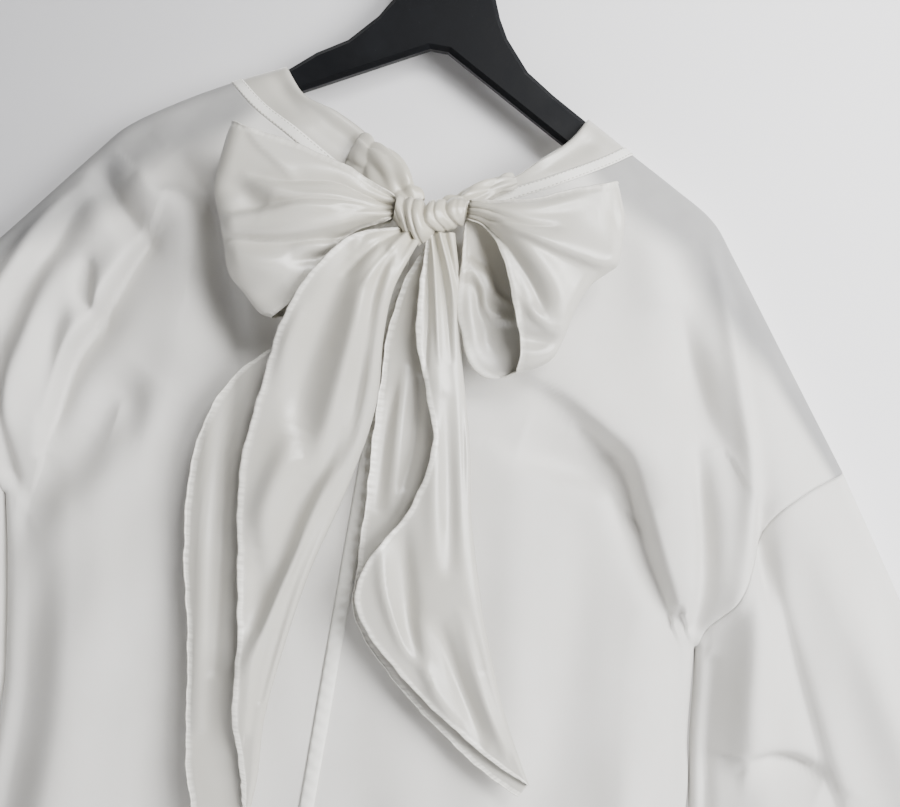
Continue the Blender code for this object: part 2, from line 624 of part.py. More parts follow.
def loop_layer(loop, under, depth, sign):
    """One layer of a bow loop, from the knot to the outer end; rows run across the ribbon."""
    shares = np.array(LOOP_SHARES)
    across = np.linspace(0.0, 1.0, LOOP_ACROSS + 1)
    top = at_shares(smooth_curve(loop.top), shares)
    low = at_shares(smooth_curve(under), shares)
    knot_end = at_shares(np.array([loop.top[0], under[0]], dtype=float), across)
    outer_end = at_shares(smooth_curve(loop.outer), across)
    flat = patch(knot_end, outer_end, top, low, across, shares).transpose(1, 0, 2)
    length = np.linalg.norm(flat[-1] - flat[0], axis=-1)
    out = shares[:, None]
    reach = (1.0 - out) * length[None]
    belly_across = np.sin(math.pi * (LOOP_EDGE_BELLY + (1.0 - 2.0 * LOOP_EDGE_BELLY) * across))
    belly = LOOP_KNOT_DEPTH + depth * np.sin(math.pi * out ** LOOP_BELLY_SHIFT) * belly_across
    height = belly + (LOOP_END_RADIUS - LOOP_KNOT_DEPTH) * out ** 2
    height = height * rounded(reach, LOOP_END_RADIUS) / LOOP_END_RADIUS
    wave_along = np.sin(math.pi * (LOOP_EDGE_BELLY + LOOP_WAVE_REACH * out))
    wave = LOOP_WAVE * np.sin(2 * math.pi * loop.pleats * across + LOOP_WAVE_START) * wave_along
    y = LOOP_MIDDLE + sign * height + wave
    return np.stack([flat[..., 0], y, flat[..., 1]], axis=-1)


def make_loop(side, finish):
    """Bow loop: one ribbon that runs out in front, turns at the outer end and comes back behind."""
    loop = LOOPS[side]
    front = loop_layer(loop, loop.front_under, LOOP_FRONT_DEPTH, -1.0)
    back = loop_layer(loop, loop.back_under, LOOP_BACK_DEPTH, 1.0)
    ribbon = np.concatenate([front, back[-2::-1]])
    wall("loop_" + side, ribbon, grid_normals(ribbon), SATIN, finish)


def make_tail(side, finish):
    """Bow tail: a ribbon folded lengthwise, its front layer before the fold and its back layer after it."""
    rows = TAILS[side]
    flat = np.array([[*row.front_edge, *row.fold, *row.back_edge, row.front_y, row.back_y] for row in rows],
                    dtype=float)
    flat = at_shares(smooth_curve(flat), np.linspace(0.0, 1.0, TAIL_ROWS + 1))
    sections = []
    for row in flat:
        middle = (row[6] + row[7]) / 2
        half = (row[7] - row[6]) / 2
        section = []
        for edge, sign in ((row[0:2], -1.0), (row[4:6], 1.0)):
            fold = row[2:4]
            width = np.linalg.norm(edge - fold)
            radius = min(half, TAIL_FOLD_SHARE * width)
            layer = []
            for share in TAIL_LAYER_SHARES:
                x, z = edge + (fold - edge) * share
                y = middle + sign * half * rounded((1 - share) * width, radius) / radius
                layer.append((x, y, z))
            section.append(layer)
        sections.append(section[0] + section[1][-2::-1])
    ribbon = np.array(sections).transpose(1, 0, 2)
    wall("tail_" + side, ribbon, grid_normals(ribbon), SATIN, finish)


# Hanger

def hanger_half(side):
    """Outline of one hanger arm, from the top at the neck round its tip to the apex."""
    sign = 1.0 if side == "right" else -1.0
    neck = [(sign * x, z) for x, z in HANGER_NECK]
    edge = smooth_curve(SHOULDER[side], 4)
    reach = HANGER_REACH[side]
    edge = edge[np.abs(edge[:, 0]) < reach]
    normals = edge_normals(edge, edge + np.array([0.0, -1.0]))[:, ::2]
    upper = [tuple(point) for point in edge - normals * HANGER_UNDER_CLOTH]
    lower_reach = reach - HANGER_TIP_SLANT
    lower_tip = np.array([sign * lower_reach, -lower_reach * HANGER_SLOPE])
    tip_centre = (np.array(upper[-1]) + lower_tip) / 2
    spoke = np.array(upper[-1]) - tip_centre
    tip = []
    for turn in HANGER_TIP_TURNS:
        cos, sin = math.cos(math.pi * turn), -sign * math.sin(math.pi * turn)
        tip.append((tip_centre[0] + spoke[0] * cos - spoke[1] * sin,
                    tip_centre[1] + spoke[0] * sin + spoke[1] * cos))
    near_apex = (sign * HANGER_APEX_RADIUS, -HANGER_APEX_RADIUS * HANGER_SLOPE)
    return neck + upper + tip + [tuple(lower_tip), near_apex]


def make_hanger(body_finish, hook_finish):
    """Flat hanger with chamfered edges, and its wire hook."""
    right = hanger_half("right")
    left = hanger_half("left")[::-1]
    outline = np.array(right + left)
    along = unit(np.roll(outline, -1, axis=0) - np.roll(outline, 1, axis=0))
    outward = np.stack([-along[:, 1], along[:, 0]], axis=-1)
    inset = outline - outward * HANGER_CHAMFER
    levels = ((inset, -HANGER_HALF_WALL), (outline, HANGER_CHAMFER - HANGER_HALF_WALL),
              (outline, HANGER_HALF_WALL - HANGER_CHAMFER), (inset, HANGER_HALF_WALL))
    rings = [np.stack([points[:, 0], np.full(len(points), y), points[:, 1]], axis=-1) for points, y in levels]
    solid_of_rings("hanger_body", rings, body_finish)
    make_hook(hook_finish)


def make_hook(finish):
    """Wire hook: an arc over the point where it is held, then a bend back to the middle and a shank."""
    top = HOOK_DROP
    radius = HOOK_RADIUS + HOOK_WIRE
    centre_z = top - HOOK_RADIUS
    shank_end = HANGER_NECK[0][1] + SEAM_GAP
    points = []
    for step in range(HOOK_ARC_STEPS + 1):
        angle = math.radians(HOOK_TIP_ANGLE + (HOOK_LEAVE_ANGLE - HOOK_TIP_ANGLE) * step / HOOK_ARC_STEPS)
        points.append((radius * math.cos(angle), centre_z + radius * math.sin(angle)))
    start = np.array(points[-1])
    leave = math.radians(HOOK_LEAVE_ANGLE)
    first = start + HOOK_ARC_PULL * np.array([math.sin(leave), -math.cos(leave)])
    end = np.array([0.0, shank_end])
    second = end + np.array([0.0, HOOK_SHANK_PULL])
    for step in range(1, HOOK_NECK_STEPS + 1):
        t = step / HOOK_NECK_STEPS
        points.append(tuple((1 - t) ** 3 * start + 3 * (1 - t) ** 2 * t * first
                            + 3 * (1 - t) * t ** 2 * second + t ** 3 * end))
    path = np.array(points)
    directions = unit(np.gradient(path, axis=0))
    directions[-1] = (0.0, -1.0)
    rings = []
    for (x, z), (along_x, along_z) in zip(path, directions):
        side = np.array([-along_z, 0.0, along_x])
        rings.append(ellipse_ring(np.array([x, 0.0, z]), side, np.array([0.0, 1.0, 0.0]),
                                  HOOK_WIRE, HOOK_WIRE, HOOK_RING_POINTS, 0.0, 0))
    solid_of_rings("hanger_hook", rings, finish)


def new_finish(name, colour, roughness, metallic=0.0):
    """Principled material."""
    finish = bpy.data.materials.new(name)
    finish.use_nodes = True
    shader = finish.node_tree.nodes["Principled BSDF"]
    shader.inputs["Base Color"].default_value = (*colour, 1.0)
    shader.inputs["Roughness"].default_value = roughness
    shader.inputs["Metallic"].default_value = metallic
    return finish


def clear_scene():
    """Remove every object."""
    for item in list(bpy.data.objects):
        bpy.data.objects.remove(item, do_unlink=True)


def main():
    """Build every piece."""
    clear_scene()
    cotton = new_finish("ivory_cotton", (0.80, 0.80, 0.77), 0.85)
    satin = new_finish("ivory_satin", (0.83, 0.82, 0.76), 0.38)
    black = new_finish("black_plastic", (0.012, 0.013, 0.016), 0.42)
    steel = new_finish("blackened_steel", (0.05, 0.05, 0.055), 0.35, 1.0)
    make_hanger(black, steel)
    make_backs(cotton)
    make_front(cotton)
    for side in ("left", "right"):
        make_sleeve(side, cotton)
        make_tie(side, satin)
        make_loop(side, satin)
        make_tail(side, satin)
    make_neck(cotton, satin)
    make_knot(satin)


main()
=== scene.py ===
"""Oversized long-sleeve cotton top with a satin bow at the back of its neck, on a flat black hanger.

The tables are in millimetres in the plane of the hanger: x to the right and z up from the hanger's inner
apex, as seen from behind the garment.  y is the depth: the back of the garment lies at negative y.  Meshes
are in metres from the point where the hook is held.
"""
import logging
import math
from collections.abc import Callable
from dataclasses import dataclass
from enum import Enum
from typing import NamedTuple

import bmesh
import bpy
import numpy as np
from mathutils import Matrix, Vector


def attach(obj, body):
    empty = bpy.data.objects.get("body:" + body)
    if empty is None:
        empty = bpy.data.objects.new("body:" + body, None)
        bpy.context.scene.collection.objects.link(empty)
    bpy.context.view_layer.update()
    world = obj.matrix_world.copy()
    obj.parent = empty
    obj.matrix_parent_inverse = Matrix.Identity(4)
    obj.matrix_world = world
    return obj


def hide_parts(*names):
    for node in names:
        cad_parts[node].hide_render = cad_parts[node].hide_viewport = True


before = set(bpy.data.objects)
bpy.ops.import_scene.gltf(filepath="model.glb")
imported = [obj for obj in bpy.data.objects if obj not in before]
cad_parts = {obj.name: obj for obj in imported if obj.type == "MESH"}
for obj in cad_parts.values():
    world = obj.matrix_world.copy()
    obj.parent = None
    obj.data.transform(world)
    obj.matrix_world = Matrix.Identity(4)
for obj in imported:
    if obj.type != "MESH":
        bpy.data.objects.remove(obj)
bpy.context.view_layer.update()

LOG = logging.getLogger("garment")

MM = 0.001
HOOK_DROP = 108.0          # from the point where the hook is held down to the hanger's inner apex

Pair = tuple[float, float]
Path = tuple[Pair, ...]


class Part(Enum):
    """Half of the garment, by the side on which the viewer sees it."""

    LEFT = "left"
    RIGHT = "right"


class Face(Enum):
    """Side of the garment, by the sign of its depth."""

    BACK = -1.0
    FRONT = 1.0


class Slot(Enum):
    """Material slots of the record."""

    COTTON = "cotton"
    SATIN = "satin"


# Outline of the cut, from the neck outwards and from the cuff inwards

SHOULDER: dict[Part, Path] = {
    Part.RIGHT: ((105, -30), (138, -48), (168, -64), (197, -81), (217, -105), (264, -167), (311, -229)),
    Part.LEFT: ((-97, -31), (-131, -48), (-162, -66), (-192, -87), (-211, -109), (-258, -169), (-306, -229)),
}
SLEEVE_TOP: dict[Part, Path] = {
    Part.RIGHT: ((311, -229), (363, -305), (420, -392), (470, -480), (508, -572), (530, -640)),
    Part.LEFT: ((-306, -229), (-359, -305), (-416, -392), (-466, -480), (-504, -572), (-526, -640)),
}
ARMHOLE: dict[Part, Path] = {
    Part.RIGHT: ((311, -229), (284, -247), (265, -267), (259, -296), (250, -325), (239, -344), (235, -360)),
    Part.LEFT: ((-306, -229), (-279, -247), (-260, -267), (-254, -293), (-245, -316), (-234, -330),
                (-229, -341)),
}
SLEEVE_UNDER: dict[Part, Path] = {
    Part.RIGHT: ((235, -360), (238.2, -381), (242.4, -419), (249.4, -462), (257, -503), (290, -556),
                 (352, -622), (418, -676)),
    Part.LEFT: ((-229, -341), (-222.2, -379), (-213.4, -430), (-208.4, -473), (-216, -508), (-272, -560),
                (-346, -622), (-414, -676)),
}
SIDE: dict[Part, Path] = {
    Part.RIGHT: ((235, -360), (237, -381), (241, -419), (248, -462), (251, -560), (252, -664)),
    Part.LEFT: ((-229, -341), (-221, -379), (-212, -430), (-207, -473), (-208, -560), (-211, -664)),
}
HEM_CENTRE: Pair = (0, -672)
BACK_CENTRE: Pair = (-3, -119)
BACK_SEAM: dict[Part, Path] = {
    Part.RIGHT: ((138, -48), (123, -60), (94, -79), (70, -92), (35, -110), BACK_CENTRE),
    Part.LEFT: ((-131, -48), (-110, -65), (-86, -79), (-58, -95), (-30, -110), BACK_CENTRE),
}
BACK_BAND_EDGE: dict[Part, Path] = {
    Part.RIGHT: ((105, -30), (94, -49), (81, -63), (60, -82), (30, -97), (-3, -103)),
    Part.LEFT: ((-97, -31), (-80, -50), (-56, -59), (-36, -69), (-20, -82), (-3, -92)),
}
BACK_BAND_SHARE: dict[Part, float] = {Part.RIGHT: 0.55, Part.LEFT: 0.69}
FRONT_CENTRE: Pair = (4, -160)
FRONT_SEAM: dict[Part, Path] = {
    Part.RIGHT: ((138, -48), (134, -72), (119, -100), (92, -130), (52, -152), FRONT_CENTRE),
    Part.LEFT: ((-131, -48), (-127, -72), (-112, -100), (-85, -130), (-45, -152), FRONT_CENTRE),
}
FRONT_BAND_EDGE: dict[Part, Path] = {
    Part.RIGHT: ((105, -30), (100, -52), (88, -76), (66, -101), (36, -118), (4, -124)),
    Part.LEFT: ((-97, -31), (-92, -52), (-80, -76), (-58, -101), (-28, -118), (4, -124)),
}

# Grid lines of the panels as shares of an edge; they draw together towards the rounded edges
NECK_SHARES = (0, 0.013, 0.04, 0.09, 0.2, 0.35, 0.5, 0.67, 0.82, 0.94, 1)
SHOULDER_SHARES = (0.09, 0.18, 0.25, 0.32, 0.41, 0.53, 0.67, 0.81, 0.93, 0.983, 1)
ARMHOLE_SHARES = (0, 0.015, 0.05, 0.13, 0.26, 0.4, 0.54, 0.68, 0.8, 0.9, 0.97, 1)
SIDE_SHARES = (0.1, 0.21, 0.33, 0.45, 0.58, 0.72, 0.86, 1)
HEM_EDGE_SHARES = (0.95, 0.98, 0.994, 1)

FOLD_RADIUS = 10.0         # half thickness of the garment where it is folded over the hanger
BULGE_REACH = 50.0         # distance from a closed edge over which the bulge grows
FOLD_FREE_EDGE = 3.0       # no fold dents the cloth nearer to a closed edge than this
FOLD_REACH = 15.0          # distance over which a fold grows from there
FACING_WIDTH = 9.0         # turned strip beside the centre-back seam
LEAST_DEPTH = 0.2          # share of its depth that the cloth keeps in the deepest fold
SEAM_DIP = 0.9             # how deep an armhole seam draws the cloth in
SEAM_DIP_WIDTH = 1.6


# Curves

def smooth_curve(points: Path, steps: int = 14) -> np.ndarray:
    """Dense points on a smooth curve through a table's points.

    Args:
        points: Rows of the table.
        steps: Number of points for each span of the table.

    Returns:
        Array of points, one row each.
    """
    table = np.array(points, dtype=float)
    ends = np.vstack([2 * table[0] - table[1], table, 2 * table[-1] - table[-2]])
    shares = np.arange(steps)[:, None] / steps
    dense = []
    for a, b, c, d in zip(ends[:-3], ends[1:-2], ends[2:-1], ends[3:]):
        dense.append(0.5 * (2 * b + (c - a) * shares + (2 * a - 5 * b + 4 * c - d) * shares ** 2
                            + (3 * b - a - 3 * c + d) * shares ** 3))
    dense.append(table[-1:])
    return np.vstack(dense)


def lengths_along(curve: np.ndarray) -> np.ndarray:
    """Distance of each point from the start of its line, along the first axis.

    Args:
        curve: Points of a curve, or a grid of points whose lines run along its first axis.

    Returns:
        One length for each point.
    """
    steps = np.linalg.norm(np.diff(curve, axis=0), axis=-1)
    return np.concatenate([np.zeros((1, *steps.shape[1:])), np.cumsum(steps, axis=0)])


def at_shares(curve: np.ndarray, shares: np.ndarray) -> np.ndarray:
    """Points at the given shares of a curve's length.

    Args:
        curve: Points of the curve.
        shares: Shares from 0 to 1.

    Returns:
        One point for each share.
    """
    lengths = lengths_along(curve)
    places = np.array(shares) * lengths[-1]
    return np.stack([np.interp(places, lengths, column) for column in curve.T], axis=-1)


def nearest_on(curve: np.ndarray, points: np.ndarray) -> tuple[np.ndarray, np.ndarray, np.ndarray]:
    """Where each point lies beside a curve.

    Args:
        curve: Points of the curve, x and z.
        points: Array of points, x and z in its last axis.

    Returns:
        Distance to the curve, share of the curve where it is nearest, and +1 on its left or -1 on its right.
    """
    starts = curve[:-1]
    steps = np.diff(curve, axis=0)
    lengths = np.linalg.norm(steps, axis=1)
    before = np.concatenate([[0.0], np.cumsum(lengths)[:-1]])
    offsets = points[..., None, :] - starts
    along = np.clip((offsets * steps).sum(-1) / lengths ** 2, 0.0, 1.0)
    distances = np.linalg.norm(offsets - along[..., None] * steps, axis=-1)
    best = distances.argmin(-1)[..., None]
    nearest = np.take_along_axis(distances, best, -1)[..., 0]
    part = np.take_along_axis(along, best, -1)[..., 0]
    turn = steps[:, 0] * offsets[..., 1] - steps[:, 1] * offsets[..., 0]
    side = np.sign(np.take_along_axis(turn, best, -1)[..., 0])
    best = best[..., 0]
    return nearest, (before[best] + part * lengths[best]) / lengths.sum(), side


def ease(share: np.ndarray) -> np.ndarray:
    """Smooth step from 0 to 1."""
    share = np.clip(share, 0.0, 1.0)
    return share * share * (3.0 - 2.0 * share)


def rounded(distance: np.ndarray, radius: float) -> np.ndarray:
    """Quarter circle that rises from 0 at an edge to its radius."""
    share = np.clip(distance / radius, 0.0, 1.0)
    return radius * np.sqrt(1.0 - (1.0 - share) ** 2)


def unit(vectors: np.ndarray) -> np.ndarray:
    """Vectors of length one."""
    return vectors / np.maximum(np.linalg.norm(vectors, axis=-1, keepdims=True), 1e-9)


def grid_normals(grid: np.ndarray) -> np.ndarray:
    """Normals of a grid of points, from the neighbours along both of its axes."""
    return unit(np.cross(np.gradient(grid, axis=0), np.gradient(grid, axis=1)))


def outer_normals(grid: np.ndarray, sign: float) -> np.ndarray:
    """Normals of a grid, turned so that most of them point to the given sign of y."""
    normals = grid_normals(grid)
    return normals * np.sign((normals[..., 1] * sign).sum())


def cloth_place(first: np.ndarray, second: np.ndarray) -> np.ndarray:
    """Cloth coordinates in metres, from two sets of distances that span a grid."""
    return np.stack(np.broadcast_arrays(first, second), axis=-1) * MM


def resampled(grid: np.ndarray, places: np.ndarray) -> np.ndarray:
    """Grid at places between its columns.

    Args:
        grid: Points by column and row.
        places: Column numbers, whole or not.

    Returns:
        One column of points for each place.
    """
    low = np.minimum(places.astype(int), len(grid) - 2)
    part = (places - low)[:, None, None]
    return grid[low] * (1.0 - part) + grid[low + 1] * part


def turned(grid: np.ndarray) -> np.ndarray:
    """Grid with its columns and rows exchanged."""
    return grid.transpose(1, 0, 2)


def refined(values: np.ndarray, counts: np.ndarray) -> np.ndarray:
    """Values with each step between two of them split into equal parts.

    Args:
        values: Rising or falling values.
        counts: Number of parts for each step.

    Returns:
        The values and those between them.
    """
    parts = [np.linspace(a, b, count, endpoint=False) for a, b, count in zip(values[:-1], values[1:], counts)]
    return np.concatenate([*parts, values[-1:]])


def split_counts(first: np.ndarray, second: np.ndarray, cell: float) -> np.ndarray:
    """Number of cells for each step of two opposite edges.

    Args:
        first: Points of one edge.
        second: Points of the opposite edge.
        cell: Greatest size of a cell.

    Returns:
        One count for each step.
    """
    steps = [np.linalg.norm(np.diff(edge, axis=0), axis=1) for edge in (first, second)]
    return np.maximum(np.ceil(np.maximum(*steps) / cell).astype(int), 1)


def patch(top: np.ndarray, bottom: np.ndarray, left: np.ndarray, right: np.ndarray,
          across: np.ndarray, down: np.ndarray) -> np.ndarray:
    """Grid of points between four edges.

    Args:
        top: Points of the top edge, from left to right.
        bottom: Points of the bottom edge.
        left: Points of the left edge, from the top down.
        right: Points of the right edge.
        across: How far each column follows the right edge instead of the left one.
        down: How far each row follows the bottom edge instead of the top one.

    Returns:
        Points by column and row.
    """
    u = np.array(across)[:, None, None]
    v = np.array(down)[None, :, None]
    corners = ((1 - u) * (1 - v) * top[0] + u * (1 - v) * top[-1]
               + (1 - u) * v * bottom[0] + u * v * bottom[-1])
    return ((1 - v) * top[:, None] + v * bottom[:, None]
            + (1 - u) * left[None] + u * right[None] - corners)


# Folds

TABLE_STEPS = 8            # points of a fold's line for each span of its table
FOLD_SIGHT = 4.0           # half widths beyond which a fold is no longer felt
BLUNTNESS = 0.8            # how soon a fold reaches its full height, 1 for a sine


@dataclass(frozen=True)
class Fold:
    """One trough or ridge of the cloth.

    path is its line, left and right its half widths on either side of the direction of the path, height its
    size (a trough is negative), start and end the shares of that height at its two ends, and edge how
    sharply its profile comes to a point: 2 is round, 1 is a crease.
    """

    path: Path
    left: float
    right: float
    height: float
    start: float = 0.35
    end: float = 0.35
    edge: float = 2.0

    def relief(self, points: np.ndarray) -> np.ndarray:
        """Height of the fold.

        Args:
            points: Points of x and z.

        Returns:
            One height for each point.
        """
        curve = smooth_curve(self.path, TABLE_STEPS)
        reach = FOLD_SIGHT * max(self.left, self.right)
        near = ((points > curve.min(axis=0) - reach) & (points < curve.max(axis=0) + reach)).all(axis=-1)
        gap, share, side = nearest_on(curve, points[near])
        width = np.where(side > 0, self.left, self.right)
        body = np.sin(math.pi * np.clip(share, 0.0, 1.0 - 1e-9)) ** BLUNTNESS
        ends = self.start * (1.0 - share) + self.end * share
        height = np.zeros(points.shape[:-1])
        height[near] = self.height * (ends * (1.0 - body) + body) * np.exp(-(gap / width) ** self.edge)
        return height


def even(path: Path, width: float, height: float) -> Fold:
    """Soft fold with the same half width on both sides."""
    return Fold(path, width, width, height)


BACK_FOLDS: tuple[Fold, ...] = (
    Fold(((130, -230), (141, -235), (159, -247), (175, -273), (192, -307), (211, -339)),
         3.4, 11, -15, 0.15, 0.45, 1.5),
    Fold(((96, -254), (120, -257), (144, -259), (164, -264), (178, -282)), 20, 8, -18, 0.2, 0.3, 1.8),
    Fold(((90, -202), (110, -207), (128, -215), (148, -227), (169, -242), (185, -271), (202, -305),
          (215, -329)), 26, 5.4, 14, 0.2, 0.5),
    Fold(((180, -140), (193, -168), (204, -190), (214, -210), (226, -226)), 9, 20, -14, 0.1, 0.4, 1.8),
    Fold(((211, -234), (218, -259), (225, -285), (230, -317), (231, -345)), 7, 6, -15, 0.3, 0.5, 1.8),
    Fold(((198, -100), (214, -140), (232, -195), (245, -235), (251, -285), (250, -325)), 6, 7, 7, 0.4, 0.4),
    Fold(((206, -110), (213, -128), (222, -152), (240, -207), (256, -262)), 7, 2.5, -5.0, 0.4, 0.4, 1.5),
    Fold(((256, -262), (262, -285), (268, -306), (272, -322)), 8, 5, -10, 0.4, 0.3, 1.8),
    Fold(((262, -316), (266, -351), (269, -383), (274, -419)), 14, 11, 15, 0.4, 0.7),
    Fold(((243, -368), (249, -419), (256, -462), (260, -500)), 5, 12, -20, 0.7, 0.5),
    Fold(((266, -286), (280, -320), (301, -364), (338, -439), (362, -490)), 3.5, 13, -7, 0.2, 0.4, 1.6),
    Fold(((277, -421), (297, -418), (312, -419), (330, -426)), 4.0, 18, -17, 0.3, 0.2, 1.6),
    even(((310, -290), (352, -360), (400, -440), (440, -520)), 18, 9),
    even(((330, -540), (372, -590), (430, -620)), 14, -6),
    even(((178, -116), (196, -150), (206, -176)), 12, -5),
    even(((150, -92), (166, -130), (186, -176)), 18, 6),
    Fold(((-206, -118), (-199, -128), (-188, -139), (-176, -150), (-165, -162)), 10, 8, -15, 0.1, 0.6, 1.8),
    Fold(((-161, -158), (-174, -190), (-184, -216), (-196, -243), (-201, -275), (-206, -308)),
         15, 2.6, -19, 0.3, 0.3, 1.5),
    Fold(((-170, -166), (-181, -192), (-191, -218), (-203, -246), (-209, -282)), 3, 11, 8, 0.4, 0.3),
    Fold(((-197, -182), (-194, -203), (-186, -220)), 6, 6, -11, 0.2, 0.5),
    Fold(((-176, -119), (-160, -130), (-146, -131), (-137, -135), (-131, -147), (-130, -170)),
         5, 22, 14, 0.2, 0.2, 1.7),
    Fold(((-156, -106), (-137, -121), (-122, -144), (-111, -178), (-94, -216)), 9, 13, -14, 0.2, 0.5),
    Fold(((-202, -137), (-215, -149), (-222, -172), (-236, -204), (-245, -240), (-266, -290)),
         14, 6, -12, 0.2, 0.4, 1.8),
    even(((-206, -124), (-230, -156), (-244, -190), (-264, -240)), 8, 7),
    even(((-216, -196), (-226, -245), (-234, -282), (-246, -330)), 11, 12),
    even(((-213, -216), (-208, -250), (-207, -285)), 9, -8),
    Fold(((-240, -252), (-234, -292), (-223, -334)), 5, 10, -12, 0.3, 0.6, 1.7),
    even(((-146, -246), (-177, -300), (-214, -346)), 20, -13),
    even(((-126, -200), (-140, -262), (-178, -334)), 20, 8),
    even(((-180, -288), (-168, -264), (-154, -266), (-148, -292)), 12, -6),
    even(((-250, -290), (-292, -360), (-330, -430)), 16, 8),
    even(((-276, -330), (-310, -410), (-350, -480)), 12, -9),
    even(((-330, -540), (-372, -590), (-430, -620)), 14, -6),
    Fold(((-128, -250), (-108, -330), (-92, -400), (-88, -520), (-96, -668)), 18, 18, -8, 0.2, 0.6),
    even(((-156, -380), (-156, -520), (-148, -668)), 24, 9),
    even(((-192, -390), (-186, -500), (-188, -668)), 16, -6),
    even(((92, -250), (112, -330), (124, -420), (122, -520)), 24, 6),
    even(((64, -440), (72, -540), (66, -668)), 22, 6),
    even(((154, -310), (150, -420), (152, -540), (144, -668)), 24, -8),
    even(((206, -400), (206, -540), (200, -668)), 18, 7),
)
FRONT_FOLDS: tuple[Fold, ...] = (
    even(((120, -230), (160, -280), (215, -340)), 16, -5),
    even(((150, -190), (190, -240), (225, -310)), 15, 4),
    even(((-110, -230), (-160, -280), (-210, -330)), 16, -5),
    even(((-150, -190), (-190, -240), (-220, -300)), 15, 4),
    even(((80, -380), (92, -520), (84, -668)), 22, -4),
    even(((150, -420), (158, -540), (152, -668)), 20, 3),
    even(((-80, -390), (-92, -520), (-84, -668)), 22, -4),
    even(((-150, -420), (-158, -540), (-152, -668)), 20, 3),
    *(even(((side * 290, -330), (side * 330, -420), (side * 390, -520)), 13, -5) for side in (1, -1)),
)


@dataclass(frozen=True)
class Ripple:
    """Small slack waves of the cloth.

    across and down are their direction, length that of a wave, size their height, begin where they begin
    and bend how far they are bent, so that no two run straight.
    """

    across: float
    down: float
    length: float
    size: float
    begin: float
    bend: float = 9.0

    def relief(self, points: np.ndarray) -> np.ndarray:
        """Height of the waves.

        Args:
            points: Points of x and z.

        Returns:
            One height for each point.
        """
        x, z = points[..., 0], points[..., 1]
        beside = (x * self.down - z * self.across) / self.length
        bent = self.bend * np.sin(beside / 2.3 + self.begin)
        run = (x * self.across + z * self.down + bent) * (2.0 * math.pi / self.length)
        fade = 0.5 + 0.5 * np.sin(beside / 1.7 + 2.1 * self.begin)
        return self.size * fade * np.sin(run + self.begin)


SLACK: tuple[Ripple, ...] = (
    Ripple(0.93, 0.36, 47.0, 0.55, 0.4),
    Ripple(0.80, -0.60, 61.0, 0.55, 1.9),
    Ripple(0.99, 0.10, 29.0, 0.22, 3.3),
    Ripple(0.40, 0.92, 73.0, 0.45, 4.4),
)


@dataclass(frozen=True)
class ClothSide:
    """One side of the garment, as a height over the drawing plane.

    face says which side it is, bulge how far it hangs away from its closed edges and folds what dents it.
    """

    face: Face
    bulge: float
    folds: tuple[Fold, ...]

    def height(self, points: np.ndarray) -> np.ndarray:
        """How far this side stands off the drawing plane.

        Args:
            points: Points of x and z.

        Returns:
            One height for each point.
        """
        edges = [smooth_curve(table[part]) for table in (SHOULDER, SLEEVE_TOP, SLEEVE_UNDER, SIDE)
                 for part in Part]
        distance = np.min([nearest_on(edge, points)[0] for edge in edges], axis=0)
        height = rounded(distance, FOLD_RADIUS) + self.bulge * ease(distance / BULGE_REACH)
        dents = sum(fold.relief(points) for fold in self.folds) + sum(wave.relief(points) for wave in SLACK)
        lowest = LEAST_DEPTH * height
        height = np.maximum(height + dents * ease((distance - FOLD_FREE_EDGE) / FOLD_REACH), lowest)
        for part in Part:
            gap = nearest_on(smooth_curve(ARMHOLE[part]), points)[0]
            height = height - SEAM_DIP * np.exp(-(gap / SEAM_DIP_WIDTH) ** 2) * ease(distance / FOLD_RADIUS)
        return height

    def surface(self, points: np.ndarray, closed: np.ndarray) -> np.ndarray:
        """Outer points of the cloth.

        Args:
            points: Grid of x and z.
            closed: Mask of the points on a closed edge, where both sides meet.

        Returns:
            Grid of x, y and z.
        """
        height = np.where(closed, 0.0, self.height(points))
        return np.stack([points[..., 0], self.face.value * height, points[..., 1]], axis=-1)


BACK = ClothSide(Face.BACK, 14.0, BACK_FOLDS)
FRONT = ClothSide(Face.FRONT, 5.0, FRONT_FOLDS)


# Node graphs

Value = bpy.types.NodeSocket | float | tuple[float, ...]
TURN = 6.283               # radians in a whole turn


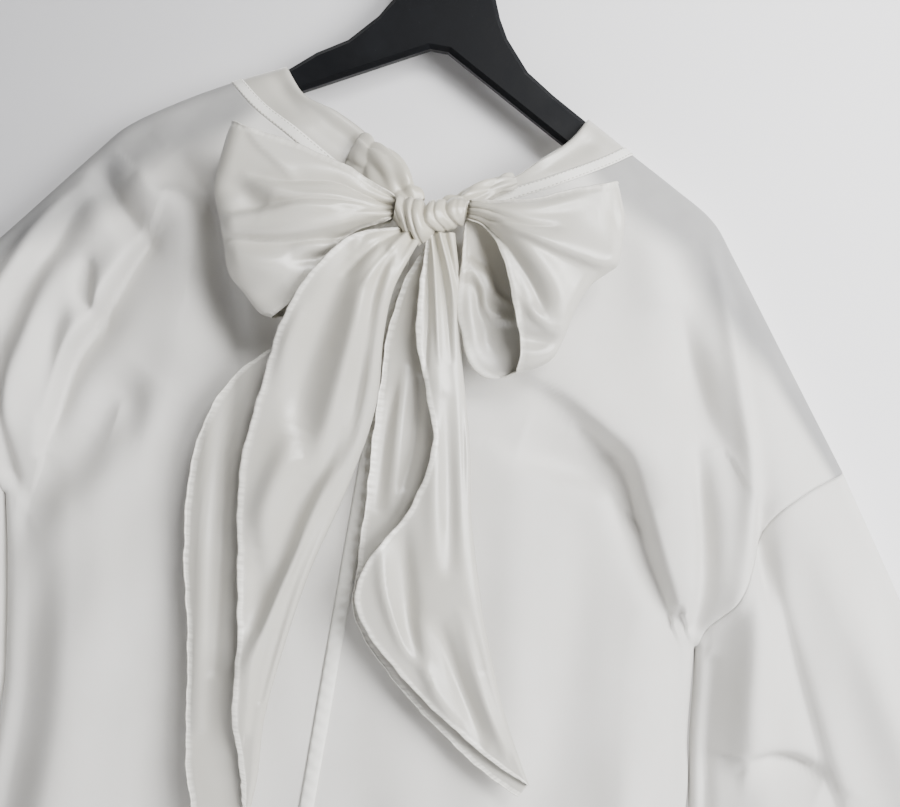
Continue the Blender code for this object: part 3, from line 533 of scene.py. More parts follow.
class NodeGraph:
    """Node tree in the making, with short calls that add and join its nodes."""

    def __init__(self, tree: bpy.types.NodeTree) -> None:
        """Keep the tree of a material or of a node group."""
        self.tree = tree

    def join(self, value: Value, socket: bpy.types.NodeSocket) -> None:
        """Give an input its value, or a link from another node.

        Args:
            value: Value or socket.
            socket: The input.
        """
        if isinstance(value, bpy.types.NodeSocket):
            self.tree.links.new(value, socket)
        else:
            socket.default_value = value

    def add(self, kind: str, inputs: dict[str | int, Value] | None = None,
            **settings: object) -> bpy.types.Node:
        """Add a node.

        Args:
            kind: Blender's name of the node type.
            inputs: Values or sockets for its inputs, by name or number.
            settings: Attributes of the node.

        Returns:
            The node.
        """
        node = self.tree.nodes.new(kind)
        for name, value in settings.items():
            setattr(node, name, value)
        for name, value in (inputs or {}).items():
            self.join(value, node.inputs[name])
        return node

    def math(self, operation: str, *values: Value) -> bpy.types.NodeSocket:
        """Result of a math node on numbers or sockets."""
        return self.add("ShaderNodeMath", dict(enumerate(values)), operation=operation).outputs[0]

    def ramp(self, value: Value, low: float, high: float, start: float = 0.0,
             end: float = 1.0) -> bpy.types.NodeSocket:
        """Value mapped smoothly from low..high to start..end."""
        node = self.add("ShaderNodeMapRange", {"Value": value, "From Min": low, "From Max": high,
                                               "To Min": start, "To Max": end},
                        interpolation_type="SMOOTHSTEP")
        return node.outputs["Result"]

    def mix(self, share: Value, first: Value, second: Value) -> bpy.types.NodeSocket:
        """Colour between two colours."""
        return self.add("ShaderNodeMix", {0: share, 6: first, 7: second}, data_type="RGBA").outputs[2]

    def noise(self, place: Value, scale: float, detail: float,
              roughness: float = 0.5) -> bpy.types.NodeSocket:
        """Uneven value that changes from place to place."""
        return self.add("ShaderNodeTexNoise", {"Vector": place, "Scale": scale, "Detail": detail,
                                               "Roughness": roughness}).outputs[0]

    def axes(self, place: Value) -> bpy.types.NodeOutputs:
        """The X, Y and Z of a place."""
        return self.add("ShaderNodeSeparateXYZ", {0: place}).outputs

    def place(self, x: Value, y: Value) -> bpy.types.NodeSocket:
        """Place made of an X and a Y."""
        return self.add("ShaderNodeCombineXYZ", {"X": x, "Y": y}).outputs[0]

    def cloth(self) -> bpy.types.NodeSocket:
        """Cloth coordinates of the piece."""
        return self.add("ShaderNodeUVMap", uv_map="cloth").outputs[0]

    def spot(self) -> bpy.types.NodeSocket:
        """Object coordinates of the piece."""
        return self.add("ShaderNodeTexCoord").outputs["Object"]

    def mark(self, name: str) -> bpy.types.NodeSocket:
        """Named value of the piece's points."""
        return self.add("ShaderNodeAttribute", attribute_name=name).outputs["Fac"]

    def group(self, make: Callable[[], bpy.types.NodeTree], name: str, place: Value,
              inputs: dict[str, float]) -> bpy.types.NodeOutputs:
        """Outputs of a node group, which is made the first time it is asked for.

        Args:
            make: Function that makes the group.
            name: Name of the group.
            place: Cloth coordinates.
            inputs: Values for its number inputs.

        Returns:
            The outputs by name.
        """
        tree = bpy.data.node_groups.get(name) or make()
        return self.add("ShaderNodeGroup", {"Place": place, **inputs}, node_tree=tree).outputs


def new_group(name: str, inputs: dict[str, float], outputs: tuple[str, ...]) -> tuple[NodeGraph, dict, dict]:
    """Node group with number inputs and number outputs, and a cloth coordinate as its first input.

    Args:
        name: Name of the group.
        inputs: Name and default value of each number input.
        outputs: Names of the outputs.

    Returns:
        The graph, its input sockets by name, and the output node's input sockets by name.
    """
    tree = bpy.data.node_groups.new(name, "ShaderNodeTree")
    tree.interface.new_socket("Place", in_out="INPUT", socket_type="NodeSocketVector")
    for label, value in inputs.items():
        tree.interface.new_socket(label, in_out="INPUT", socket_type="NodeSocketFloat").default_value = value
    for label in outputs:
        tree.interface.new_socket(label, in_out="OUTPUT", socket_type="NodeSocketFloat")
    graph = NodeGraph(tree)
    entry = graph.add("NodeGroupInput")
    leave = graph.add("NodeGroupOutput")
    return graph, {socket.name: socket for socket in entry.outputs}, {s.name: s for s in leave.inputs}


def weave_group() -> bpy.types.NodeTree:
    """Height of woven threads: two sets of fine waves that cross, with uneven threads.

    Returns:
        The node group, with its output Height.
    """
    graph, given, out = new_group("woven_threads", {"Threads": 2200.0, "Uneven": 0.4}, ("Height",))
    parts = graph.axes(given["Place"])
    heights = []
    for axis, other in (("X", "Y"), ("Y", "X")):
        noise = graph.noise(graph.place(parts[axis], graph.math("MULTIPLY", parts[other], 0.03)), 900.0, 2.0)
        wobble = graph.math("MULTIPLY", noise, graph.math("MULTIPLY", given["Uneven"], 6.0))
        angle = graph.math("MULTIPLY", parts[axis], graph.math("MULTIPLY", given["Threads"], TURN))
        wave = graph.math("SINE", graph.math("ADD", angle, wobble))
        heights.append(graph.math("MULTIPLY", wave, graph.ramp(noise, 0.3, 0.7, 0.6, 1.0)))
    graph.join(graph.math("MULTIPLY", graph.math("ADD", *heights), 0.5), out["Height"])
    return graph.tree


def stitch_group() -> bpy.types.NodeTree:
    """Row of stitches that runs along the cloth's first coordinate at a given distance.

    Returns:
        The node group, with its outputs Thread and Groove.
    """
    graph, given, out = new_group("sewn_row", {"At": 0.02, "Pitch": 0.003}, ("Thread", "Groove"))
    parts = graph.axes(given["Place"])
    off = graph.math("ABSOLUTE", graph.math("SUBTRACT", parts["Y"], given["At"]))
    line = graph.ramp(off, 0.00045, 0.00015)
    dash = graph.math("SINE", graph.math("DIVIDE", graph.math("MULTIPLY", parts["X"], TURN), given["Pitch"]))
    graph.join(graph.math("MULTIPLY", line, graph.ramp(dash, -0.75, -0.4)), out["Thread"])
    graph.join(graph.ramp(off, 0.0015, 0.0), out["Groove"])
    return graph.tree


@dataclass(frozen=True)
class Finish:
    """Surface finish: its name, base colour and roughness."""

    name: str
    colour: tuple[float, float, float]
    roughness: float

    def build(self) -> bpy.types.Material:
        """Make the material.

        Returns:
            The material.
        """
        material = bpy.data.materials.new(self.name)
        material.use_nodes = True
        self.lay_out(NodeGraph(material.node_tree))
        return material

    def lay_out(self, graph: NodeGraph) -> None:
        """Lay out the finish; each kind has its own way."""
        raise NotImplementedError

    def shade(self, factor: float, warm: float = 0.0) -> tuple[float, float, float, float]:
        """Base colour times a factor, moved towards yellow by warm."""
        red, green, blue = (channel * factor for channel in self.colour)
        return (red, green * (1.0 - 0.25 * warm), blue * (1.0 - warm), 1.0)

    def close(self, graph: NodeGraph, base: Value, height: Value, bump: Pair, **others: Value) -> None:
        """Lead what a finish has worked out to the shader.

        Args:
            graph: Graph of the material.
            base: Colour.
            height: Height of the fine surface.
            bump: Strength of that height and its size in metres.
            others: Other inputs of the shader, with _ for each blank of their names.
        """
        shader = graph.tree.nodes["Principled BSDF"]
        strength, distance = bump
        normal = graph.add("ShaderNodeBump", {"Strength": strength, "Distance": distance, "Height": height})
        inputs = {"Roughness": self.roughness, **others, "Base_Color": base, "Normal": normal.outputs[0]}
        for name, value in inputs.items():
            graph.join(value, shader.inputs[name.replace("_", " ")])


@dataclass(frozen=True)
class CottonFinish(Finish):
    """Smooth matt cotton: fine plain weave, soft nap, faint unevenness of its dye, a sewn row at its edge.

    stitch_at is the distance of that row from the edge in metres, or 0 for none.  The cotton is darker on the
    shoulders where the piece's backing mark says so: partly the dark hanger showing through, partly painted
    shade.
    """

    stitch_at: float = 0.0
    threads: float = 1900.0

    def lay_out(self, graph: NodeGraph) -> None:
        """Lay out the finish.

        Args:
            graph: Graph of its material.
        """
        place, spot = graph.cloth(), graph.spot()
        weave = graph.group(weave_group, "woven_threads", place, {"Threads": self.threads})
        cloud = graph.noise(spot, 14.0, 4.0, 0.6)
        lint = graph.noise(spot, 420.0, 3.0)
        base = graph.mix(graph.ramp(cloud, 0.3, 0.7), self.shade(0.965, 0.012), self.shade(1.01))
        base = graph.mix(graph.ramp(lint, 0.58, 0.75, 0.0, 0.35), base, self.shade(0.93, 0.02))
        # Painted shade on the shoulders over the hanger, together with the dark hanger showing through.
        backing = graph.math("MULTIPLY", graph.mark("backing"), graph.ramp(cloud, 0.25, 0.75, 0.8, 1.0))
        base = graph.mix(backing, base, self.shade(0.44, -0.05))
        height = graph.math("ADD", graph.math("MULTIPLY", weave["Height"], 0.5),
                            graph.math("MULTIPLY", lint, 0.7))
        if self.stitch_at:
            row = graph.group(stitch_group, "sewn_row", place, {"At": self.stitch_at})
            # Painted shade in the groove beside the stitches, besides the groove's dent in the height below.
            base = graph.mix(graph.math("MULTIPLY", row["Groove"], 0.35), base, self.shade(0.80, 0.03))
            base = graph.mix(row["Thread"], base, self.shade(1.02))
            height = graph.math("ADD", height, graph.math("MULTIPLY", row["Thread"], 3.0))
            height = graph.math("SUBTRACT", height, graph.math("MULTIPLY", row["Groove"], 2.4))
        rough = graph.ramp(lint, 0.3, 0.7, self.roughness - 0.05, self.roughness + 0.05)
        self.close(graph, base, height, (0.35, 0.00018), Roughness=rough, Specular_IOR_Level=0.25,
                   Sheen_Weight=0.05, Sheen_Roughness=0.45)


@dataclass(frozen=True)
class SatinFinish(Finish):
    """Satin: long floats that shine along the thread, fine cross lines, warmer in its folds near the knot.

    The warmth and hem marks of the piece say where it is warmer, and where a hem's edge takes a painted
    highlight beside the doubled hem's own slightly brighter colour.
    """

    sheen: float = 0.08

    def lay_out(self, graph: NodeGraph) -> None:
        """Lay out the finish.

        Args:
            graph: Graph of its material.
        """
        place, spot = graph.cloth(), graph.spot()
        parts = graph.axes(place)
        slub = graph.noise(graph.place(graph.math("MULTIPLY", parts["X"], 0.05), parts["Y"]), 1500.0, 3.0)
        weave = graph.group(weave_group, "woven_threads", place, {"Threads": 3100.0})
        cloud = graph.noise(spot, 24.0, 3.0)
        base = graph.mix(graph.ramp(cloud, 0.3, 0.7), self.shade(0.97, 0.02), self.shade(1.01))
        base = graph.mix(graph.mark("warmth"), base, self.shade(0.97, 0.13))
        # Painted highlight along the hems, broken by the puckers; the doubled hem is also a little brighter
        # in itself.
        crimp = graph.noise(graph.place(0.0, parts["Y"]), 380.0, 1.0)
        hem = graph.math("MULTIPLY", graph.mark("hem"), graph.ramp(crimp, 0.35, 0.62, 0.4, 1.0))
        base = graph.mix(hem, base, self.shade(1.6, -0.02))
        rough = graph.ramp(slub, 0.3, 0.7, self.roughness - 0.05, self.roughness + 0.06)
        height = graph.math("ADD", graph.math("MULTIPLY", weave["Height"], 0.25), slub)
        self.close(graph, base, height, (0.22, 0.00012), Roughness=rough, Specular_IOR_Level=0.85,
                   Anisotropic=0.6, Sheen_Weight=self.sheen, Sheen_Roughness=0.35)


@dataclass(frozen=True)
class ThreadFinish(Finish):
    """Sewing thread: a slight shine and a twist."""

    def lay_out(self, graph: NodeGraph) -> None:
        """Lay out the finish.

        Args:
            graph: Graph of its material.
        """
        twist = graph.add("ShaderNodeTexWave", {"Vector": graph.spot(), "Scale": 900.0, "Distortion": 1.0},
                          bands_direction="DIAGONAL").outputs["Fac"]
        self.close(graph, graph.mix(twist, self.shade(0.9, 0.03), self.shade(1.02)), twist, (0.4, 0.0001))


@dataclass(frozen=True)
class HangerFinish(Finish):
    """Moulded plastic or blackened wire: fine grain, light dust and handling marks."""

    metallic: float = 0.0
    grain: float = 900.0
    dust: float = 0.03

    def lay_out(self, graph: NodeGraph) -> None:
        """Lay out the finish.

        Args:
            graph: Graph of its material.
        """
        spot = graph.spot()
        grain = graph.noise(spot, self.grain, 2.0)
        marks = graph.noise(spot, 35.0, 6.0, 0.7)
        speck = graph.add("ShaderNodeTexVoronoi", {"Vector": spot, "Scale": 260.0}).outputs["Distance"]
        dusty = graph.math("MULTIPLY", graph.ramp(speck, 0.12, 0.02), graph.ramp(marks, 0.5, 0.62))
        base = graph.mix(graph.ramp(marks, 0.4, 0.7), self.shade(0.85), self.shade(1.25))
        base = graph.mix(graph.math("MULTIPLY", dusty, self.dust * 10.0), base, (0.30, 0.30, 0.31, 1.0))
        rough = graph.ramp(marks, 0.3, 0.75, self.roughness - 0.08, self.roughness + 0.12)
        self.close(graph, base, grain, (0.25, 0.00015), Roughness=rough, Metallic=self.metallic,
                   Specular_IOR_Level=0.12)


@dataclass(frozen=True)
class PlasterFinish(Finish):
    """Painted wall or floor with faint roller marks.

    one_sided paint is clear from behind, and fade is how much painted shade darkens it towards the left, away
    from the light on the right.
    """

    one_sided: bool = False
    fade: float = 0.0

    def lay_out(self, graph: NodeGraph) -> None:
        """Lay out the finish.

        Args:
            graph: Graph of its material.
        """
        spot = graph.spot()
        tone = graph.ramp(graph.noise(spot, 2.2, 2.0), 0.35, 0.65)
        base = graph.mix(tone, self.shade(0.985), self.shade(1.0))
        # Painted shade: the wall turns darker towards the left, away from the light on the right.
        left = graph.ramp(graph.axes(spot)["X"], 0.3, -0.45, 0.0, self.fade)
        base = graph.mix(left, base, self.shade(0.5, -0.02))
        others = {"Specular_IOR_Level": 0.2}
        if self.one_sided:
            behind = graph.add("ShaderNodeNewGeometry").outputs["Backfacing"]
            others["Alpha"] = graph.math("SUBTRACT", 1.0, behind)
        self.close(graph, base, graph.noise(spot, 160.0, 4.0), (0.12, 0.0002), **others)


@dataclass(frozen=True)
class Wardrobe:
    """Every material of the model, made once."""

    cotton: bpy.types.Material
    strip: bpy.types.Material
    satin: bpy.types.Material
    thread: bpy.types.Material
    plastic: bpy.types.Material
    steel: bpy.types.Material

    @staticmethod
    def make() -> "Wardrobe":
        """Make the materials.

        Returns:
            The set of materials.
        """
        ivory = (0.66, 0.648, 0.622)
        return Wardrobe(
            cotton=CottonFinish("ivory_cotton_cloth", ivory, 0.85, stitch_at=0.022).build(),
            strip=CottonFinish("ivory_cotton_strip", (0.82, 0.81, 0.765), 0.70).build(),
            satin=SatinFinish("ivory_satin_cloth", (0.505, 0.49, 0.445), 0.34).build(),
            thread=ThreadFinish("ivory_thread", (0.60, 0.585, 0.53), 0.5).build(),
            plastic=HangerFinish("black_moulded_plastic", (0.003, 0.0034, 0.0045), 0.5, dust=0.006).build(),
            steel=HangerFinish("blackened_wire", (0.05, 0.05, 0.055), 0.34, 1.0, 1400.0, 0.01).build())


# Cloth meshes


@dataclass
class Cloth:
    """Sheet of cloth on a grid of outer points.

    name is the piece's name, points the grid by column and row in millimetres, place the cloth coordinates
    in metres, wall the thickness in millimetres, towards the outward direction (one for all or one for each
    point), ring whether the last column meets the first, and marks the named values of the points.
    """

    name: str
    points: np.ndarray
    place: np.ndarray
    wall: float
    towards: np.ndarray
    ring: bool = False
    marks: dict[str, np.ndarray] | None = None

    def build(self, finish: bpy.types.Material, slot: Slot, nodes: tuple[str, ...], rests_on: tuple[str, ...],
              held: str = "hung") -> bpy.types.Object:
        """Make the piece, with its wall on the inside of the points.

        Args:
            finish: Material of the cloth.
            slot: Not used.
            nodes: Nodes of the solid model that the piece stands for.
            rests_on: Names of what carries it; not used.
            held: How it is held; not used.

        Returns:
            The object.
        """
        points, place, marks = self.points, self.place, dict(self.marks or {})
        if (np.cross(np.gradient(points, axis=0), np.gradient(points, axis=1)) * self.towards).sum() < 0:
            points, place = points[::-1], place[::-1]
            marks = {name: values[::-1] for name, values in marks.items()}
        columns, rows = points.shape[:2]
        work = bmesh.new()
        bmesh.ops.create_grid(work, x_segments=columns - 1, y_segments=rows - 1, size=1.0)
        mesh = bpy.data.meshes.new(self.name)
        work.to_mesh(mesh)
        work.free()
        metres = (turned(points).reshape(-1, 3) - (0.0, 0.0, HOOK_DROP)) * MM
        mesh.vertices.foreach_set("co", metres.ravel())
        corner = np.empty(len(mesh.loops), dtype=np.int32)
        mesh.loops.foreach_get("vertex_index", corner)
        layer = mesh.uv_layers.new(name="cloth")
        layer.data.foreach_set("uv", turned(place).reshape(-1, 2)[corner].ravel())
        for name, values in marks.items():
            mark = mesh.attributes.new(name, "FLOAT", "POINT")
            mark.data.foreach_set("value", values.T.ravel().astype(np.float32))
        if self.ring:
            work = bmesh.new()
            work.from_mesh(mesh)
            bmesh.ops.remove_doubles(work, verts=work.verts, dist=1e-6)
            work.to_mesh(mesh)
            work.free()
        mesh.update()
        mesh.shade_smooth()
        piece = dress(self.name, mesh, finish, nodes)
        shell = piece.modifiers.new("wall", "SOLIDIFY")
        shell.thickness = self.wall * MM
        shell.offset = -1.0
        return piece


def dress(name: str, mesh: bpy.types.Mesh, finish: bpy.types.Material,
          nodes: tuple[str, ...] = ()) -> bpy.types.Object:
    """Object of a finished mesh, with its material, body and slot.

    Args:
        name: Name of the piece.
        mesh: Its mesh.
        finish: Its material.
        nodes: Nodes of the solid model that it stands for.

    Returns:
        The object.
    """
    piece = bpy.data.objects.new(name, mesh)
    bpy.context.collection.objects.link(piece)
    mesh.materials.append(finish)
    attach(piece, "root")
    if nodes:
        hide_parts(*nodes)
    return piece


# Body and sleeves

# Widths of the darkened shoulder zone: the hanger showing through, and painted shade.
SHOWTHROUGH_AND_SHADE_WIDTHS: Path = ((100, 34), (130, 50), (200, 46), (250, 22), (310, 12))


def hanger_showthrough_and_shade(points: np.ndarray) -> np.ndarray:
    """Share of darkening at each point, from 0 to 1: the hanger's dark arm showing through, and painted
    shade.

    Args:
        points: Outer points of the cloth.

    Returns:
        One share for each point.
    """
    drawn = points[..., [0, 2]]
    distance = np.min([nearest_on(smooth_curve(SHOULDER[part]), drawn)[0] for part in Part], axis=0)
    spans, widths = zip(*SHOWTHROUGH_AND_SHADE_WIDTHS)
    width = np.interp(np.abs(points[..., 0]), spans, widths)
    return ease(2.0 * (1.0 - distance / width))


@dataclass
class Garment:
    """Cotton body and sleeves.

    cell is the size of the grid's cells on the back, inner_cell on the front, wall the cloth's thickness,
    strip_wall that of the centre strip, and sleeve_length the length that a sleeve's rows divide.
    """

    wardrobe: Wardrobe
    cell: float = 3.0
    inner_cell: float = 7.0
    wall: float = 1.3
    strip_wall: float = 1.0
    strip_columns: int = 7
    strip_lift: float = 1.15
    strip_pucker: float = 0.8
    pucker_length: float = 9.0
    sleeve_length: float = 600.0

    def build(self) -> None:
        """Make the panels, the centre strip and the sleeves."""
        self.backs()
        self.front()
        for part in Part:
            self.sleeve(part)

    def half(self, part: Part, neck_seam: dict[Part, Path], centre_top: Pair,
             cell: float) -> tuple[np.ndarray, np.ndarray, int]:
        """Drawing-plane grid of half a panel, columns from the centre out and rows from the top down.

        Args:
            part: Which half.
            neck_seam: Neck seams of the panel.
            centre_top: Top of its centre line.
            cell: Greatest size of a cell.

        Returns:
            The grid, the mask of its closed points, and the number of columns under the centre strip.
        """
        neck_curve = smooth_curve(neck_seam[part])
        shoulder = smooth_curve(SHOULDER[part])
        start = np.linalg.norm(shoulder - neck_curve[0], axis=1).argmin()
        shoulder = shoulder[start:]
        neck_shares = np.array(NECK_SHARES)[::-1]
        shoulder_shares = np.array((0.0, *SHOULDER_SHARES))
        side_shares = np.array((0.0, *SIDE_SHARES))
        top = np.vstack([at_shares(neck_curve, neck_shares), at_shares(shoulder, shoulder_shares)[1:]])
        armhole_curve = smooth_curve(ARMHOLE[part])
        side_curve = smooth_curve(SIDE[part])
        outside = np.vstack([at_shares(armhole_curve, ARMHOLE_SHARES),
                             at_shares(side_curve, side_shares)[1:]])
        hem_line = np.array([HEM_CENTRE, SIDE[part][-1]], dtype=float)
        first = FACING_WIDTH / abs(hem_line[1, 0])
        spread = np.linspace(first, HEM_EDGE_SHARES[0], len(top) - len(HEM_EDGE_SHARES))
        across = np.concatenate([[0.0], spread, HEM_EDGE_SHARES[1:]])
        middle = np.array([centre_top, HEM_CENTRE], dtype=float)
        drop = (outside[:, 1] - outside[0, 1]) / (outside[-1, 1] - outside[0, 1])
        columns = split_counts(top, at_shares(hem_line, across), cell)
        rows = split_counts(outside, at_shares(middle, drop), cell)
        neck_steps, arm_steps = len(neck_shares) - 1, len(ARMHOLE_SHARES) - 1
        top = np.vstack([at_shares(neck_curve, refined(neck_shares, columns[:neck_steps])),
                         at_shares(shoulder, refined(shoulder_shares, columns[neck_steps:]))[1:]])
        outside = np.vstack([at_shares(armhole_curve, refined(np.array(ARMHOLE_SHARES), rows[:arm_steps])),
                             at_shares(side_curve, refined(side_shares, rows[arm_steps:]))[1:]])
        neck_share = across[neck_steps]
        across = refined(across, columns)
        drop = (outside[:, 1] - outside[0, 1]) / (outside[-1, 1] - outside[0, 1])
        follow_side = np.clip((across - neck_share) / (1.0 - neck_share), 0.0, 1.0)
        grid = patch(top, at_shares(hem_line, across), at_shares(middle, drop), outside, follow_side, drop)
        closed = np.zeros(grid.shape[:2], dtype=bool)
        closed[columns[:neck_steps].sum():, 0] = True
        closed[-1, rows[:arm_steps].sum():] = True
        return grid, closed, int(columns[0])

    @staticmethod
    def panel_place(points: np.ndarray) -> np.ndarray:
        """Cloth coordinates of a panel: across it, and up from its hem."""
        hem = np.interp(points[..., 0], (SIDE[Part.LEFT][-1][0], HEM_CENTRE[0], SIDE[Part.RIGHT][-1][0]),
                        (SIDE[Part.LEFT][-1][1], HEM_CENTRE[1], SIDE[Part.RIGHT][-1][1]))
        return cloth_place(points[..., 0], points[..., 2] - hem)

    def backs(self) -> None:
        """Both halves of the back, and the turned strip on the right of the centre seam."""
        towards = np.array([0.0, Face.BACK.value, 0.0])
        for part in Part:
            grid, closed, strip_columns = self.half(part, BACK_SEAM, BACK_CENTRE, self.cell)
            points = BACK.surface(grid, closed)
            name = "cloth_back_" + part.value
            # This mark carries painted shade on the shoulders as well as the hanger showing through.
            marks = {"backing": hanger_showthrough_and_shade(points)}
            Cloth(name, points, self.panel_place(points), self.wall, towards, marks=marks).build(
                self.wardrobe.cotton, Slot.COTTON, ("back_" + part.value,), ("hanger_body",))
            if part is Part.RIGHT:
                self.centre_strip(points[:strip_columns + 1])

    def centre_strip(self, under: np.ndarray) -> None:
        """Turned strip with small puckers.

        Args:
            under: First columns of the right back, which it lies on.
        """
        shares = np.linspace(0.0, 1.0, self.strip_columns)
        base = turned(resampled(under, shares * (len(under) - 1)))
        grid = turned(resampled(base, np.arange(0.0, len(base) - 0.75, 0.5)))
        length = lengths_along(grid[0])[None]
        shares = shares[:, None]
        edge = np.minimum(shares, 1.0 - shares)
        turns = length / self.pucker_length
        pucker = self.strip_pucker * np.sin(2 * math.pi * turns + 0.8 * np.sin(length / 37.0)) ** 3
        lift = self.strip_lift + (0.9 + pucker) * ease(edge * 3.0) + 0.25 * np.sin(turns) * shares
        points = grid + lift[..., None] * (0.0, Face.BACK.value, 0.0)
        Cloth("centre_strip", points, cloth_place(shares * FACING_WIDTH, length), self.strip_wall,
              np.array([0.0, Face.BACK.value, 0.0])).build(
            self.wardrobe.strip, Slot.COTTON, ("back_facing",), ("cloth_back_right",))

    def front(self) -> None:
        """Front in one piece, from two halves that share the centre line."""
        halves = [FRONT.surface(*self.half(part, FRONT_SEAM, FRONT_CENTRE, self.inner_cell)[:2])
                  for part in Part]
        rows = max(half.shape[1] for half in halves)
        left, right = (turned(resampled(turned(half), np.linspace(0.0, 1.0, rows) * (half.shape[1] - 1)))
                       for half in halves)
        points = np.concatenate([left[:0:-1], right])
        Cloth("cloth_front", points, self.panel_place(points), self.wall,
              np.array([0.0, Face.FRONT.value, 0.0])).build(
            self.wardrobe.cotton, Slot.COTTON, ("front",), ("hanger_body",))

    def sleeve(self, part: Part) -> None:
        """Sleeve as one tube: its back from the top edge to the lower edge, then its front.

        Args:
            part: Which sleeve.
        """
        rows = round(self.sleeve_length / self.cell)
        along = np.linspace(0.0, 1.0, rows + 1)
        seam_curve = smooth_curve(ARMHOLE[part])
        upper = at_shares(smooth_curve(SLEEVE_TOP[part]), along)
        lower = at_shares(smooth_curve(SLEEVE_UNDER[part]), along)
        cuff_line = np.array([upper[-1], lower[-1]])
        coarse = np.array(ARMHOLE_SHARES)
        counts = split_counts(at_shares(seam_curve, coarse), at_shares(cuff_line, coarse), self.cell)
        shares = refined(coarse, counts)
        grid = patch(at_shares(seam_curve, shares), at_shares(cuff_line, shares), upper, lower, shares, along)
        closed = np.zeros(grid.shape[:2], dtype=bool)
        closed[[0, -1]] = True
        points = np.concatenate([BACK.surface(grid, closed), FRONT.surface(grid, closed)[-2::-1]])
        centre = (points.max(axis=0) + points.min(axis=0)) / 2
        around = lengths_along(points[:, rows // 2])
        down = (lengths_along(upper) + lengths_along(lower)) / 2
        place = cloth_place(around[:, None], (down[-1] - down)[None])
        Cloth("cloth_sleeve_" + part.value, points, place, self.wall, points - centre[None], True).build(
            self.wardrobe.cotton, Slot.COTTON, ("sleeve_" + part.value,), ("cloth_back_" + part.value,))


# Neck

BAND_FOLDS: tuple[Fold, ...] = (
    Fold(((-98, -44), (-80, -57), (-60, -68), (-44, -76), (-33, -86)), 5, 9, -2.6, 0.2, 0.6),
    Fold(((-104, -38), (-92, -52), (-78, -64)), 4, 5, -1.6, 0.5, 0.2),
    Fold(((112, -42), (96, -58), (78, -72), (60, -84)), 7, 6, -2.2, 0.3, 0.5),
    Fold(((104, -36), (96, -50), (84, -63), (68, -75)), 3, 3, 1.2, 0.4, 0.4),
)


